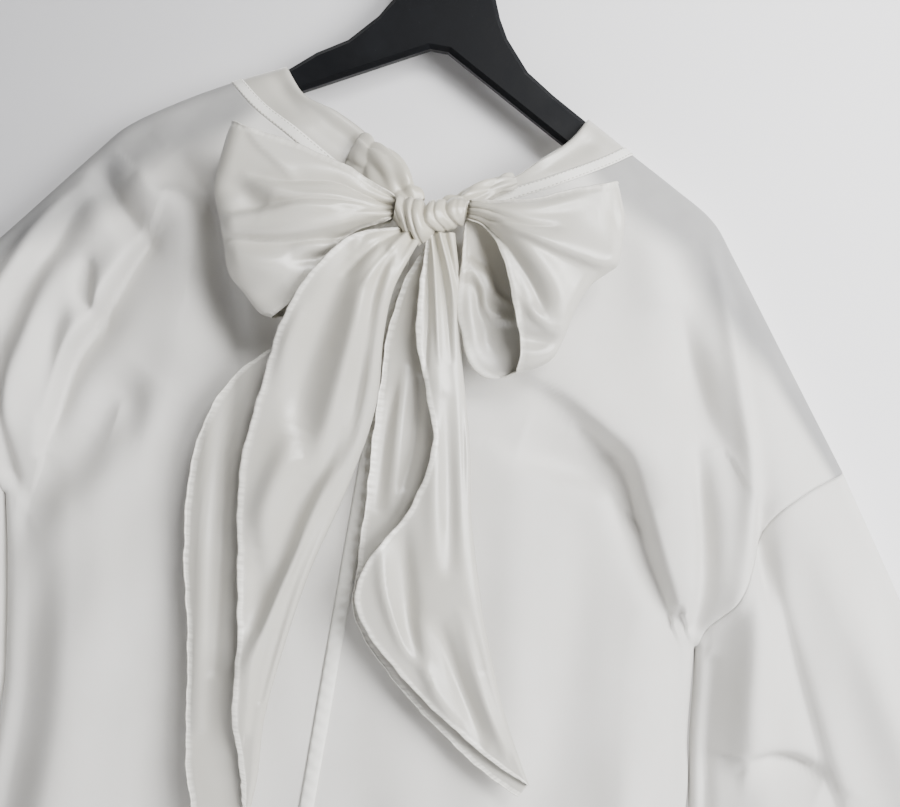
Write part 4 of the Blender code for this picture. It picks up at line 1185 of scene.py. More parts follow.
@dataclass
class Neck:
    """Neckline: a topstitched strip along the seam and a wide satin band inside it.

    A start is the distance from the seam at which the strip or band begins, a pitch or size that of the
    stitches, and back_rows and front_rows are the cells across the band.
    """

    wardrobe: Wardrobe
    strip_start: float = -0.3
    strip_width: float = 7.9
    strip_wall: float = 1.0
    strip_lift: float = 0.7
    strip_pucker: float = 0.10
    strip_rows: int = 7
    band_start: float = 6.0
    band_wall: float = 1.1
    back_rows: int = 18
    front_rows: int = 14
    cell: float = 2.4
    stitch_pitch: float = 2.8
    stitch_size: tuple[float, float, float] = (1.1, 0.4, 0.26)

    def build(self) -> None:
        """Make the strips, the bands and the stitches."""
        for part in Part:
            tables = (BACK, BACK_SEAM[part], BACK_BAND_EDGE[part])
            strip = self.ruled(*tables, 1.0, self.strip_start, self.strip_width, self.strip_rows)
            self.strip("strip_back_" + part.value, strip, ("binding_back_" + part.value,))
            band = self.ruled(*tables, BACK_BAND_SHARE[part], self.band_start, None, self.back_rows)
            self.band("satin_band_back_" + part.value, band, Face.BACK, ("band_back_" + part.value,))
        self.strip("strip_front", self.front(self.strip_start, self.strip_width, self.strip_rows),
                   ("binding_front",))
        self.band("satin_band_front", self.front(self.band_start, None, self.front_rows), Face.FRONT,
                  ("band_front",))

    def front(self, start: float, width: float | None, steps: int) -> np.ndarray:
        """Strip along the whole front neck, from its two halves.

        Args:
            start: Distance from the seam at which it begins.
            width: Its width, or None where it runs to the free edge.
            steps: Number of rows across.

        Returns:
            Outer points by column and row.
        """
        left, right = (self.ruled(FRONT, FRONT_SEAM[part], FRONT_BAND_EDGE[part], 1.0, start, width, steps)
                       for part in Part)
        return np.concatenate([left, right[-2::-1]])

    def ruled(self, side: ClothSide, seam: Path, free_edge: Path, end: float, start: float,
              width: float | None, steps: int) -> np.ndarray:
        """Strip along a neck seam, with columns close together at the shoulder.

        Args:
            side: Side of the garment that it lies on.
            seam: Table of the seam.
            free_edge: Table of the edge inside it.
            end: Share of the seam at which it ends.
            start: Distance from the seam at which the strip begins.
            width: Width of the strip, or None where it runs to the free edge.
            steps: Number of rows across.

        Returns:
            Outer points by column and row.
        """
        length = lengths_along(smooth_curve(seam))[-1]
        inner = np.arange(0.09 * length, end * length, self.cell) / length
        shares = np.concatenate([[0.0, 0.004, 0.013, 0.025, 0.04, 0.06], inner, [end]])
        outside = at_shares(smooth_curve(seam), shares)
        inside = at_shares(smooth_curve(free_edge), shares)
        span = np.linalg.norm(inside - outside, axis=1, keepdims=True)
        inward = (inside - outside) / span
        stop = span if width is None else np.full_like(span, start + width)
        across = np.linspace(0.0, 1.0, steps + 1)
        grid = np.stack([outside + inward * (start + (stop - start) * share) for share in across], axis=1)
        closed = np.zeros(grid.shape[:2], dtype=bool)
        closed[0] = True
        return side.surface(grid, closed)

    @staticmethod
    def strip_place(points: np.ndarray) -> np.ndarray:
        """Cloth coordinates: along the strip and across it."""
        along = lengths_along(points[:, points.shape[1] // 2])
        return cloth_place(along[:, None], lengths_along(turned(points)).T)

    def strip(self, name: str, points: np.ndarray, nodes: tuple[str, ...]) -> None:
        """Narrow strip, a little proud of the cloth, and the stitches along its two edges.

        Args:
            name: Name of the piece.
            points: Points of the cloth below it.
            nodes: Nodes of the solid model that it stands for.
        """
        sign = np.sign(points[..., 1].sum())
        normals = outer_normals(points, sign)
        share = np.linspace(0.0, 1.0, points.shape[1])
        along = lengths_along(points[:, 0])[:, None]
        crown = rounded(np.minimum(share, 1.0 - share), 0.22)[None] / 0.22
        pucker = self.strip_pucker * np.sin(2 * math.pi * along / 6.5 + 1.3 * np.sin(along / 17.0))
        raised = points + normals * ((self.strip_lift + pucker) * crown)[..., None]
        Cloth(name, raised, self.strip_place(points), self.strip_wall, np.array([0.0, sign, 0.0])).build(
            self.wardrobe.strip, Slot.COTTON, nodes, ("cloth_front",))
        self.stitches(name.replace("strip", "stitches"), raised, normals)

    def stitches(self, name: str, points: np.ndarray, normals: np.ndarray) -> None:
        """Short threads sunk a little into the strip, in a row beside each of its edges.

        Args:
            name: Name of the piece.
            points: Outer points of the strip.
            normals: Its normals.
        """
        work = bmesh.new()
        for row in (1, points.shape[1] - 2):
            line = points[:, row]
            lengths = lengths_along(line)
            count = int(lengths[-1] / self.stitch_pitch)
            places = (np.arange(count) + 0.5) * self.stitch_pitch / lengths[-1]
            spots = at_shares(line, places)
            ahead = at_shares(line, np.minimum(places + 0.004, 1.0))
            up = at_shares(np.concatenate([line, normals[:, row]], axis=1), places)[:, 3:]
            for spot, target, lift in zip(spots, ahead, unit(up)):
                run = Vector(target - spot).normalized()
                side = run.cross(Vector(lift)).normalized()
                turn = Matrix((run, side, side.cross(run))).transposed().to_4x4()
                centre = (Vector(spot) - Vector((0.0, 0.0, HOOK_DROP))) * MM
                size = Matrix.Diagonal((*(Vector(self.stitch_size) * MM), 1.0))
                bmesh.ops.create_icosphere(work, subdivisions=1, radius=1.0,
                                           matrix=Matrix.Translation(centre) @ turn @ size)
        mesh = bpy.data.meshes.new(name)
        work.to_mesh(mesh)
        work.free()
        mesh.shade_smooth()
        dress(name, mesh, self.wardrobe.thread)
        LOG.info("%s: %d faces", name, len(mesh.polygons))

    def band(self, name: str, points: np.ndarray, face: Face, nodes: tuple[str, ...]) -> None:
        """Satin band, doubled over at its free edge, with soft folds along it.

        Args:
            name: Name of the piece.
            points: Points of the band when it lies smooth.
            face: Side of the garment that it lies on.
            nodes: Nodes of the solid model that it stands for.
        """
        normals = outer_normals(points, face.value)
        share = np.linspace(0.0, 1.0, points.shape[1])[None]
        roll = rounded(1.0 - share, 0.12) / 0.12 - 1.0
        relief = 1.3 * roll + 0.5 * np.sin(math.pi * share)
        folds = sum(fold.relief(points[..., ::2]) for fold in BAND_FOLDS)
        relief = relief + folds * (1.0 if face is Face.BACK else 0.4)
        relief = relief * ease(np.arange(len(points))[:, None] / 6.0)
        raised = points + normals * relief[..., None]
        Cloth(name, raised, self.strip_place(points), self.band_wall, np.array([0.0, face.value, 0.0]),
              marks=satin_marks(raised)).build(self.wardrobe.satin, Slot.SATIN, nodes, ("cloth_front",))


# Bow

KNOT_LEFT = (-5.0, -62.0, -119.5)
KNOT_RIGHT = (37.0, -62.0, -115.5)

# Knot along its axis: share, half height and height of its centre
KNOT_SHAPE = ((0.0, 7.5, -119.5), (0.1, 9.8, -121.5), (0.24, 12.4, -124.6), (0.42, 13.6, -125.6),
              (0.56, 11.8, -122.4), (0.72, 10.2, -119.0), (0.88, 9.2, -116.6), (1.0, 7.5, -115.2))

# Grooves between the knot's turns: share along it, depth and width, in shares of its size
KNOT_GROOVES = ((0.05, 0.10, 0.020), (0.22, 0.24, 0.034), (0.35, 0.10, 0.014),
                (0.53, 0.26, 0.036), (0.66, 0.09, 0.012), (0.82, 0.20, 0.030))


def knot_warmth(points: np.ndarray) -> np.ndarray:
    """How warm the satin looks, from its distance to the knot.

    Args:
        points: Points of the satin.

    Returns:
        One share for each point, 1 at the knot.
    """
    middle = (np.array(KNOT_LEFT) + np.array(KNOT_RIGHT)) / 2
    distance = np.linalg.norm((points - middle) * (1.0, 0.4, 1.0), axis=-1)
    return np.clip(1.0 - (distance - 12.0) / 85.0, 0.0, 1.0) ** 1.5


def satin_marks(points: np.ndarray, hem: np.ndarray | float = 0.0) -> dict[str, np.ndarray]:
    """Marks of a satin piece: its warmth, and how much painted highlight of a hem's edge each point takes."""
    return {"warmth": knot_warmth(points), "hem": np.broadcast_to(hem, points.shape[:2])}


class TieRing(NamedTuple):
    """Cross section of a gathered tie: its centre and its half height and half depth."""

    x: float
    y: float
    z: float
    half_height: float
    half_depth: float


@dataclass(frozen=True)
class LoopShape:
    """Outline of a bow loop and the folds of its two layers.

    top, outer, front_under and back_under are its edges, front_folds and back_folds dent its layers towards
    and away from the viewer.
    """

    top: Path
    outer: Path
    front_under: Path
    back_under: Path
    front_folds: tuple[Fold, ...]
    back_folds: tuple[Fold, ...]


@dataclass(frozen=True)
class TailRow:
    """Cross section of a tail: its free front edge, the fold, its free back edge and the two depths."""

    front_edge: Pair
    fold: Pair
    back_edge: Pair
    front_y: float
    back_y: float

    def row(self) -> tuple[float, ...]:
        """Values of the section in one row."""
        return (*self.front_edge, *self.fold, *self.back_edge, self.front_y, self.back_y)


TIES: dict[Part, tuple[TieRing, ...]] = {
    Part.LEFT: (
        TieRing(-41.5, -27.7, -84.5, 12.5, 3.0),
        TieRing(-34, -30.5, -87, 13.0, 5.5),
        TieRing(-24, -33.5, -91, 13.5, 7.5),
        TieRing(-13, -36.8, -99, 13.0, 8.0),
        TieRing(-2, -40.0, -109, 11.0, 8.0),
        TieRing(5, -41.6, -115, 9.0, 7.5),
    ),
    Part.RIGHT: (
        TieRing(63.8, -27.3, -83.8, 5.0, 3.0),
        TieRing(57, -30, -87.5, 5.5, 4.5),
        TieRing(49, -33, -93, 6.5, 6.0),
        TieRing(39, -37, -102, 8.0, 7.0),
        TieRing(26, -41.6, -113, 8.5, 7.5),
    ),
}

LOOPS: dict[Part, LoopShape] = {
    Part.LEFT: LoopShape(
        top=((-6.1, -113), (-20, -108), (-39, -101), (-68, -94), (-99, -89), (-111, -86)),
        outer=((-111, -86), (-113, -98), (-115, -124), (-111, -138), (-108, -145), (-103, -159), (-97, -176),
               (-86, -186), (-75, -196), (-67, -198)),
        front_under=((-6.1, -127), (-28, -140), (-46, -166), (-56, -188), (-67, -198)),
        back_under=((-6.1, -127), (-24, -144), (-40, -172), (-53, -192), (-67, -198)),
        front_folds=(
            Fold(((-101, -89), (-92, -98), (-81, -105), (-69, -114)), 3.5, 1.4, 2.0, 0.3, 0.6, 1.5),
            Fold(((-93, -117), (-76, -118), (-58, -115), (-44, -113), (-31, -115), (-7, -120)),
                 5.0, 2.2, -4.5, 0.2, 0.8, 1.5),
            Fold(((-96, -119), (-80, -123), (-64, -125), (-42, -122), (-20, -121)),
                 2.6, 6.0, 4.0, 0.2, 0.5, 1.7),
            Fold(((-112, -130), (-99, -127), (-89, -131), (-79, -134)), 9.0, 8.0, -6.0, 0.7, 0.2, 1.8),
            Fold(((-109, -143), (-99, -140), (-78, -133), (-60, -127), (-36, -123), (-8, -122)),
                 5.0, 1.8, -4.0, 0.8, 0.6, 1.5),
            Fold(((-107, -148), (-98, -145), (-78, -138), (-60, -132), (-40, -129)),
                 2.0, 6.0, 3.2, 0.6, 0.5, 1.6),
            Fold(((-104, -152), (-79, -149), (-60, -145), (-40, -138), (-18, -129)),
                 5.0, 2.6, 3.4, 0.6, 0.6, 1.7),
            Fold(((-103, -157), (-96, -156), (-79, -154.5), (-60, -151), (-38, -145), (-31, -142),
                  (-14, -131)), 1.8, 5.5, -6.0, 0.6, 0.8, 1.5),
            Fold(((-61, -156), (-48, -152), (-37, -149), (-24, -140)), 2.6, 4.0, 4.5, 0.2, 0.8),
            Fold(((-96, -166), (-76, -168), (-60, -166)), 7.0, 8.0, 5.0, 0.5, 0.4),
            Fold(((-61, -165), (-49, -159), (-42, -156), (-30, -147)), 2.4, 5.0, -4.5, 0.2, 0.8, 1.6),
            Fold(((-89, -184), (-73, -187), (-59, -182)), 8.0, 8.0, -4.0, 0.3, 0.3),
        ),
        back_folds=()),
    Part.RIGHT: LoopShape(
        top=((38.1, -108), (54, -106), (73, -102), (99, -91), (124, -81)),
        outer=((124, -81), (128, -91), (132, -102), (133, -115), (133, -129), (128, -135), (120, -143),
               (115, -153), (111, -167), (108, -181), (104, -192), (96, -199), (84, -204)),
        front_under=((38.1, -119), (48, -121), (57, -129), (64, -139), (71, -155), (78, -173), (83, -188),
                     (84, -204)),
        back_under=((38.1, -124), (40, -150), (42, -174), (49, -190), (53, -201), (61, -209), (72, -211),
                    (84, -204)),
        front_folds=(
            Fold(((38, -110), (58, -109), (80, -106), (104, -96)), 3.0, 4.0, 2.4, 0.8, 0.3),
            Fold(((37, -117), (54, -118), (76, -119), (94, -117)), 3.0, 4.0, -4.5, 1.0, 0.2, 1.6),
            Fold(((52, -120), (72, -123), (92, -128), (109, -131), (122, -133), (130, -132)),
                 13.0, 2.4, 6.0, 0.2, 1.0, 1.7),
            Fold(((123, -90), (125, -101), (129, -112), (131, -122)), 4.0, 4.0, -3.0, 0.5, 0.5),
            Fold(((50, -122), (57, -126), (66, -132), (76, -142), (87, -156), (94, -168)),
                 5.0, 4.0, -5.0, 0.6, 0.2, 1.6),
            Fold(((62, -128), (84, -139), (98, -152), (104, -170)), 7.0, 7.0, 3.5, 0.3, 0.3),
            Fold(((82, -165), (89, -171), (94, -173.5), (100, -177)), 6.0, 1.5, 3.5, 0.3, 0.3, 1.5),
            Fold(((80, -182), (92, -183), (107, -182)), 4.0, 7.0, -5.0, 0.4, 0.4),
            Fold(((60, -132), (68, -146), (75, -162), (80, -180)), 3.0, 3.0, 2.5, 0.5, 0.5),
        ),
        back_folds=(
            Fold(((41, -151), (50, -152), (56, -160), (59, -169), (65, -174), (76, -174)),
                 5.0, 1.8, -6.0, 0.6, 0.6, 1.6),
            Fold(((45, -143), (56, -149), (62, -158), (72, -163)), 2.0, 4.0, -4.0, 0.5, 0.4, 1.6),
            Fold(((48, -160), (51, -175), (57, -190)), 4.0, 5.0, -3.0, 0.4, 0.4),
            Fold(((62, -178), (64, -188), (70, -196)), 6.0, 6.0, 3.0, 0.4, 0.4),
        )),
}

TAILS: dict[Part, tuple[TailRow, ...]] = {
    Part.LEFT: (
        TailRow((-1, -131.3), (15, -131.6), (2, -131.3), -66, -58),
        TailRow((-26, -142), (9, -150), (-18, -149), -79, -68),
        TailRow((-45, -166), (3, -172), (-38, -172), -82, -69),
        TailRow((-59, -198), (2, -200), (-56, -206), -76, -60),
        TailRow((-66, -238), (4, -240), (-90, -242), -64, -47),
        TailRow((-71, -292), (-4, -290), (-104, -292), -58, -42),
        TailRow((-63, -346), (-18, -346), (-99, -350), -57, -42),
        TailRow((-54, -398), (-26, -398), (-88, -398), -56, -42),
        TailRow((-49, -442), (-30, -442), (-80, -444), -54, -43),
        TailRow((-39, -476), (-28, -478), (-72, -488), -52, -43),
        TailRow((-34, -497), (-29, -502), (-50, -546), -50, -44),
    ),
    Part.RIGHT: (
        TailRow((17, -131.4), (33, -128.4), (19, -131.2), -66, -58),
        TailRow((17, -160), (42, -160), (7, -160), -58, -47),
        TailRow((20, -192), (48, -192), (2, -192), -54, -41),
        TailRow((33, -228), (58, -228), (3, -228), -54, -40),
        TailRow((42, -258), (66, -258), (4, -258), -54, -40),
        TailRow((35, -298), (74, -298), (7, -298), -55, -40),
        TailRow((13, -340), (86, -338), (9, -340), -56, -40),
        TailRow((17, -370), (94, -362), (14, -374), -55, -41),
        TailRow((50, -402), (107, -394), (46, -408), -53, -42),
        TailRow((86, -427), (119, -420), (82, -435), -52, -43),
        TailRow((118, -446), (131, -442), (114, -455), -50, -44),
        TailRow((134, -452), (138, -454), (133, -463), -49, -45),
    ),
}

TAIL_FOLDS: dict[Part, tuple[Fold, ...]] = {
    Part.LEFT: (
        Fold(((-10, -150), (-14, -169), (-15, -191), (-18, -222), (-22, -258), (-27, -292)),
             5.0, 9.0, 7.0, 0.3, 0.2),
        Fold(((-4, -150), (-7, -177), (-6, -201), (-7, -232), (-7, -261), (-11, -280)),
             3.5, 4.0, -6.5, 0.4, 0.3, 1.6),
        Fold(((0, -158), (0, -189), (0, -217), (-2, -243), (-1, -264)), 2.2, 2.4, 5.0, 0.3, 0.5),
        Fold(((4.5, -165), (5, -195), (4, -221), (2, -250)), 1.6, 1.8, -3.0, 0.5, 0.5, 1.5),
        Fold(((-24, -155), (-35, -200), (-42, -240), (-36, -270)), 12.0, 8.0, -7.0, 0.4, 0.3),
        Fold(((-48, -192), (-53, -211), (-56, -232)), 5.0, 5.0, 3.5, 0.3, 0.3),
        Fold(((-3, -266), (-19, -302), (-27, -336), (-36, -372), (-42, -405), (-40, -450)),
             3.0, 5.0, 5.0, 0.4, 0.4),
        Fold(((-14, -262), (-29, -304), (-37, -343), (-45, -384)), 6.0, 8.0, -6.5, 0.3, 0.3),
        Fold(((-38, -262), (-49, -304), (-52, -338)), 9.0, 9.0, 7.0, 0.2, 0.3),
        Fold(((-56, -326), (-48, -363), (-46, -396)), 7.0, 7.0, -4.0, 0.3, 0.3),
        Fold(((-46, -396), (-50, -425), (-46, -455)), 6.0, 6.0, 4.0, 0.3, 0.3),
        Fold(((-14, -312), (-24, -350), (-30, -395), (-33, -430)), 2.6, 3.0, -4.0, 0.4, 0.4),
        Fold(((-96, -250), (-94, -286), (-89, -330), (-80, -390), (-70, -455)), 4.0, 5.0, 4.0, 0.3, 0.4),
        Fold(((-86, -236), (-84, -270), (-80, -310), (-74, -360), (-66, -420)), 4.0, 4.0, -5.0, 0.4, 0.4),
        Fold(((2, -133), (-12, -146), (-28, -168)), 2.2, 2.2, -3.4, 1.0, 0.1, 1.6),
        Fold(((5, -133), (-3, -148), (-14, -172)), 2.0, 2.0, 3.0, 1.0, 0.1),
        Fold(((9, -134), (5, -150), (1, -172)), 1.8, 1.8, -3.4, 1.0, 0.2, 1.6),
    ),
    Part.RIGHT: (
        Fold(((18, -133), (20, -150), (25, -178), (30, -214)), 1.6, 1.6, -3.6, 1.0, 0.15, 1.6),
        Fold(((19, -133), (24, -150), (30, -176), (37, -206)), 1.8, 1.8, 3.2, 1.0, 0.15),
        Fold(((21, -132), (28, -150), (36, -174), (44, -204)), 1.6, 1.6, -3.6, 1.0, 0.15, 1.6),
        Fold(((24, -131), (33, -150), (41, -172), (49, -204)), 1.8, 1.8, 3.2, 1.0, 0.15),
        Fold(((27, -130), (37, -152), (45, -172), (53, -200)), 1.6, 1.6, -3.4, 1.0, 0.15, 1.6),
        Fold(((52, -205), (60, -248), (76, -320), (97, -388)), 1.8, 1.8, -2.6, 0.5, 0.5, 1.5),
        Fold(((30, -190), (42, -235), (50, -290), (58, -330)), 6.0, 7.0, 4.0, 0.3, 0.3),
        Fold(((44, -230), (56, -280), (66, -330)), 5.0, 6.0, -4.0, 0.4, 0.3),
        Fold(((22, -326), (30, -352), (46, -380), (62, -396)), 4.0, 4.0, 4.5, 0.4, 0.3),
        Fold(((32, -308), (40, -340), (50, -372), (64, -396)), 6.0, 7.0, -7.0, 0.2, 0.3),
        Fold(((50, -360), (66, -398), (84, -420)), 5.0, 5.0, 5.0, 0.2, 0.3),
        Fold(((66, -366), (86, -402), (104, -430)), 5.0, 5.0, -5.5, 0.3, 0.4),
        Fold(((78, -356), (100, -402), (120, -436)), 3.0, 4.0, 3.4, 0.3, 0.4),
        Fold(((12, -228), (12, -263), (15, -302)), 4.0, 4.0, -5.0, 0.3, 0.4),
        Fold(((17, -215), (21, -268), (24, -300)), 3.0, 3.0, 4.5, 0.3, 0.4),
        Fold(((27, -220), (31, -260), (29, -286)), 3.5, 3.5, -5.0, 0.4, 0.4),
    ),
}


@dataclass
class Bow:
    """Satin bow: gathered ties, knot, two loops and two tails.

    loop_middle is the depth of a loop's middle, loop_knot_depth its half thickness at the knot and
    loop_end_radius that of its outer turn, front_depth and back_depth how far its layers belly out, and
    the hem sizes are the width, rise, length of a pucker and waviness of a rolled hem.
    """

    wardrobe: Wardrobe
    wall: float = 0.8
    loop_middle: float = -62.0
    loop_knot_depth: float = 3.0
    loop_end_radius: float = 10.0
    front_depth: float = 13.0
    back_depth: float = 8.0
    hem_width: float = 3.9
    hem_rise: float = 0.35
    hem_pucker: float = 5.2
    hem_wave: float = 0.3
    # Share of the painted hem highlight that the loops take.
    loop_hem_highlight: float = 0.35
    loop_columns: int = 48
    tail_rows: int = 290
    tail_columns: int = 24
    tie_rows: int = 64
    tie_columns: int = 73
    tie_turns: float = 2.7
    knot_rows: int = 76
    knot_columns: int = 97

    def build(self) -> None:
        """Make every piece of the bow."""
        for part in Part:
            self.tie(part)
            self.loop(part)
            self.tail(part)
        self.knot()

    def hemmed(self, grid: np.ndarray) -> tuple[np.ndarray, np.ndarray, np.ndarray]:
        """Ribbon with a rolled hem along its first and last column.

        Args:
            grid: Points by column across the ribbon and row along it.

        Returns:
            The points, the cloth coordinates and the mask of the hems.
        """
        across = lengths_along(grid)
        edge = np.minimum(across, across[-1:] - across)
        along = lengths_along(grid[0])[None]
        gather = (1.0 + 0.4 * np.sin(2 * math.pi * along / self.hem_pucker + 2.4 * np.sin(along / 8.3))
                  + 0.3 * np.sin(along / 3.3 + 1.8 * np.sin(along / 14.0)))
        hem = 1.0 - ease((edge - self.hem_width + 0.8) / 1.2)
        roll = rounded(edge, 1.0) - 1.0
        normals = grid_normals(grid)
        outward = unit(np.gradient(grid, axis=0)) * np.sign(across - across[-1:] / 2)[..., None]
        wave = self.hem_wave * (np.sin(along / 5.1 + 1.4 * np.sin(along / 23.0)) + 0.6 * np.sin(along / 2.3))
        points = grid + normals * (self.hem_rise * hem * gather + 0.8 * roll * hem)[..., None]
        points = points + outward * (wave * np.exp(-edge / 5.0))[..., None]
        return points, cloth_place(across, along), hem

    def ribbon(self, name: str, grid: np.ndarray, nodes: tuple[str, ...],
               hem_highlight: float = 1.0) -> None:
        """Hemmed ribbon as a piece, with its first layer towards the viewer.

        Args:
            name: Name of the piece.
            grid: Points by column across the ribbon and row along it.
            nodes: Nodes of the solid model that it stands for.
            hem_highlight: Strength of the painted highlight on its hems' edges.
        """
        points, place, hem = self.hemmed(grid)
        if grid_normals(grid)[: len(grid) // 3, :, 1].sum() > 0:
            points, place, hem = self.hemmed(grid[::-1])
        # The hem mark carries the painted highlight of the hems' edges.
        marks = satin_marks(points, hem_highlight * hem)
        Cloth(name, points, place, self.wall, grid_normals(points), marks=marks).build(
            self.wardrobe.satin, Slot.SATIN, nodes, ("satin_knot",))

    def loop_layer(self, shape: LoopShape, under: Path, face: Face, along: np.ndarray,
                   across: np.ndarray) -> np.ndarray:
        """One layer of a loop.

        Args:
            shape: Outline and folds.
            under: Lower edge of this layer.
            face: Layer towards the viewer (back of the garment) or behind it.
            along: Rows from the knot to the outer end.
            across: Columns from the top edge to the lower edge.

        Returns:
            Points by column across and row along.
        """
        top = at_shares(smooth_curve(shape.top), along)
        low = at_shares(smooth_curve(under), along)
        knot_end = at_shares(np.array([shape.top[0], under[0]], dtype=float), across)
        outer_end = at_shares(smooth_curve(shape.outer), across)
        flat = patch(knot_end, outer_end, top, low, across, along)
        length = np.linalg.norm(flat[:, -1] - flat[:, 0], axis=-1)
        out = along[None, :]
        reach = (1.0 - out) * length[:, None]
        depth = self.front_depth if face is Face.BACK else self.back_depth
        belly = depth * np.sin(math.pi * out ** 0.8) * np.sin(math.pi * (0.12 + 0.76 * across[:, None]))
        height = self.loop_knot_depth + belly + (self.loop_end_radius - self.loop_knot_depth) * out ** 2
        folds = shape.front_folds if face is Face.BACK else shape.back_folds
        dents = sum((fold.relief(flat) for fold in folds), np.zeros(flat.shape[:2]))
        if face is Face.BACK:
            dents = dents + 1.1 * np.cos(2 * math.pi * 4.0 * across[:, None]) * (1.0 - ease(out / 0.35))
        height = (height + dents) * rounded(reach, self.loop_end_radius) / self.loop_end_radius
        y = self.loop_middle + face.value * height
        return np.stack([flat[..., 0], y, flat[..., 1]], axis=-1)

    def loop(self, part: Part) -> None:
        """Bow loop: one ribbon that runs out in front, turns at the outer end and comes back behind.

        Args:
            part: Which loop.
        """
        shape = LOOPS[part]
        coarse = np.array((0, 0.2, 0.4, 0.6, 0.78, 0.9, 0.97, 1))
        along = refined(coarse, np.array([9, 9, 9, 8, 6, 6, 5]))
        edge = np.array([0.0, 0.006, 0.014, 0.024, 0.036])
        across = np.concatenate([edge, np.linspace(0.05, 0.95, self.loop_columns), 1.0 - edge[::-1]])
        front = self.loop_layer(shape, shape.front_under, Face.BACK, along, across)
        back = self.loop_layer(shape, shape.back_under, Face.FRONT, along, across)
        grid = np.concatenate([front, back[:, -2::-1]], axis=1)
        self.ribbon("satin_loop_" + part.value, grid, ("loop_" + part.value,), self.loop_hem_highlight)

    def tail(self, part: Part) -> None:
        """Bow tail: a ribbon folded lengthwise, its front layer before the fold, its back layer after it.

        Args:
            part: Which tail.
        """
        table = smooth_curve(tuple(row.row() for row in TAILS[part]))
        flat = at_shares(table, np.linspace(0.0, 1.0, self.tail_rows))
        shares = np.concatenate([[0.0, 0.008, 0.02, 0.035, 0.055, 0.08],
                                 np.linspace(0.11, 0.84, self.tail_columns),
                                 [0.88, 0.915, 0.945, 0.968, 0.985, 0.995, 1.0]])
        middle = (flat[:, 6] + flat[:, 7])[None] / 2
        half = (flat[:, 7] - flat[:, 6])[None] / 2
        inward = 1 - shares[:, None]
        layers = []
        for columns, sign in ((slice(0, 2), -1.0), (slice(4, 6), 1.0)):
            free, fold = flat[:, columns], flat[:, 2:4]
            spots = free[None] + (fold - free)[None] * shares[:, None, None]
            width = np.linalg.norm(free - fold, axis=1)[None]
            depth = half * rounded(inward * width / np.minimum(half, 0.7 * width), 1.0)
            dents = sum(fold_line.relief(spots) for fold_line in TAIL_FOLDS[part])
            dents = dents * ease(inward * 4.0) * (1.0 if sign < 0 else -0.8)
            layers.append(np.stack([spots[..., 0], middle + sign * (depth + dents), spots[..., 1]], axis=-1))
        grid = np.concatenate([layers[0], layers[1][-2::-1]])
        self.ribbon("satin_tail_" + part.value, grid, ("tail_" + part.value,))

    def tie(self, part: Part) -> None:
        """Gathered end of the neckband, ruched, from the band to the back of the knot.

        Args:
            part: Which end.
        """
        rings = at_shares(smooth_curve(TIES[part]), np.linspace(0.0, 1.0, self.tie_rows))
        directions = unit(np.gradient(rings[:, :3], axis=0))
        deep = unit(np.cross(directions, np.array([0.0, 0.0, 1.0])))
        up = np.cross(deep, directions)
        angles = np.linspace(0.0, 2 * math.pi, self.tie_columns)[:, None]
        share = np.linspace(0.0, 1.0, self.tie_rows)[None]
        slant = share + 0.06 * np.sin(angles + 0.7) + 0.035 * np.sin(2 * angles + 5 * share)
        ruche = np.abs(np.sin(math.pi * (self.tie_turns * slant + 0.3 * np.sin(7 * share)))) ** 0.8
        pleat = 0.13 * np.cos(4 * angles + 5 * share) + 0.07 * np.cos(7 * angles - 9 * share + 1.0)
        swell = 0.80 + 0.22 * ruche + pleat
        points = (rings[None, :, :3] + up[None] * (rings[None, :, 3] * swell * np.cos(angles))[..., None]
                  + deep[None] * (rings[None, :, 4] * swell * np.sin(angles))[..., None])
        place = cloth_place(angles * 9.0, lengths_along(rings[:, :3])[None])
        Cloth("satin_tie_" + part.value, points, place, self.wall, points - rings[None, :, :3], True,
              satin_marks(points)).build(
            self.wardrobe.satin, Slot.SATIN, ("tie_" + part.value,), ("satin_knot",), "gathered")

    def knot(self) -> None:
        """Knot: the ribbon wrapped round itself, with grooves between the turns and pleats along them."""
        left, right = np.array(KNOT_LEFT), np.array(KNOT_RIGHT)
        share = np.linspace(0.0, 1.0, self.knot_rows)[None]
        angles = np.linspace(0.0, 2 * math.pi, self.knot_columns)[:, None]
        shape = smooth_curve(KNOT_SHAPE)
        height = np.interp(share, shape[:, 0], shape[:, 1])
        centre = left + (right - left) * share[..., None]
        centre[..., 2] = np.interp(share, shape[:, 0], shape[:, 2])
        slant = share + 0.13 * np.cos(angles + 0.6) + 0.018 * np.sin(3 * angles)
        grooves = sum(depth * np.exp(-np.abs((slant - place) / width) ** 1.5)
                      for place, depth, width in KNOT_GROOVES)
        fine = 0.011 * np.cos(2 * math.pi * 9 * slant + 0.8 * np.sin(2 * angles) + 2.0 * np.sin(7 * share))
        radius = 1.04 - grooves + fine
        points = centre + np.stack([np.zeros_like(radius), (0.72 * height + 4.5) * radius * np.sin(angles),
                                    height * radius * np.cos(angles)], axis=-1)
        place = cloth_place(angles * 13.0, share * np.linalg.norm(right - left))
        Cloth("satin_knot", points, place, self.wall, points - centre, True, satin_marks(points)).build(
            self.wardrobe.satin, Slot.SATIN, ("knot",), ("satin_tie_left", "satin_tie_right"), "gathered")


# Hanger

@dataclass
class Hanger:
    """Flat hanger and its hook, whose solids stay as they are."""

    wardrobe: Wardrobe
    body: str = "hanger_body"
    hook: str = "hanger_hook"

    def build(self) -> None:
        """Give both solids their materials."""
        for name, finish in ((self.body, self.wardrobe.plastic), (self.hook, self.wardrobe.steel)):
            solid = bpy.data.objects[name]
            for entry in solid.material_slots:
                entry.material = finish
            LOG.info("%s: finished", name)


# Surroundings

class Lamp(NamedTuple):
    """Square light of the studio: its name, place, the point it faces, its side in metres and its power."""

    name: str
    place: tuple[float, float, float]
    aim: tuple[float, float, float]
    size: float
    power: float


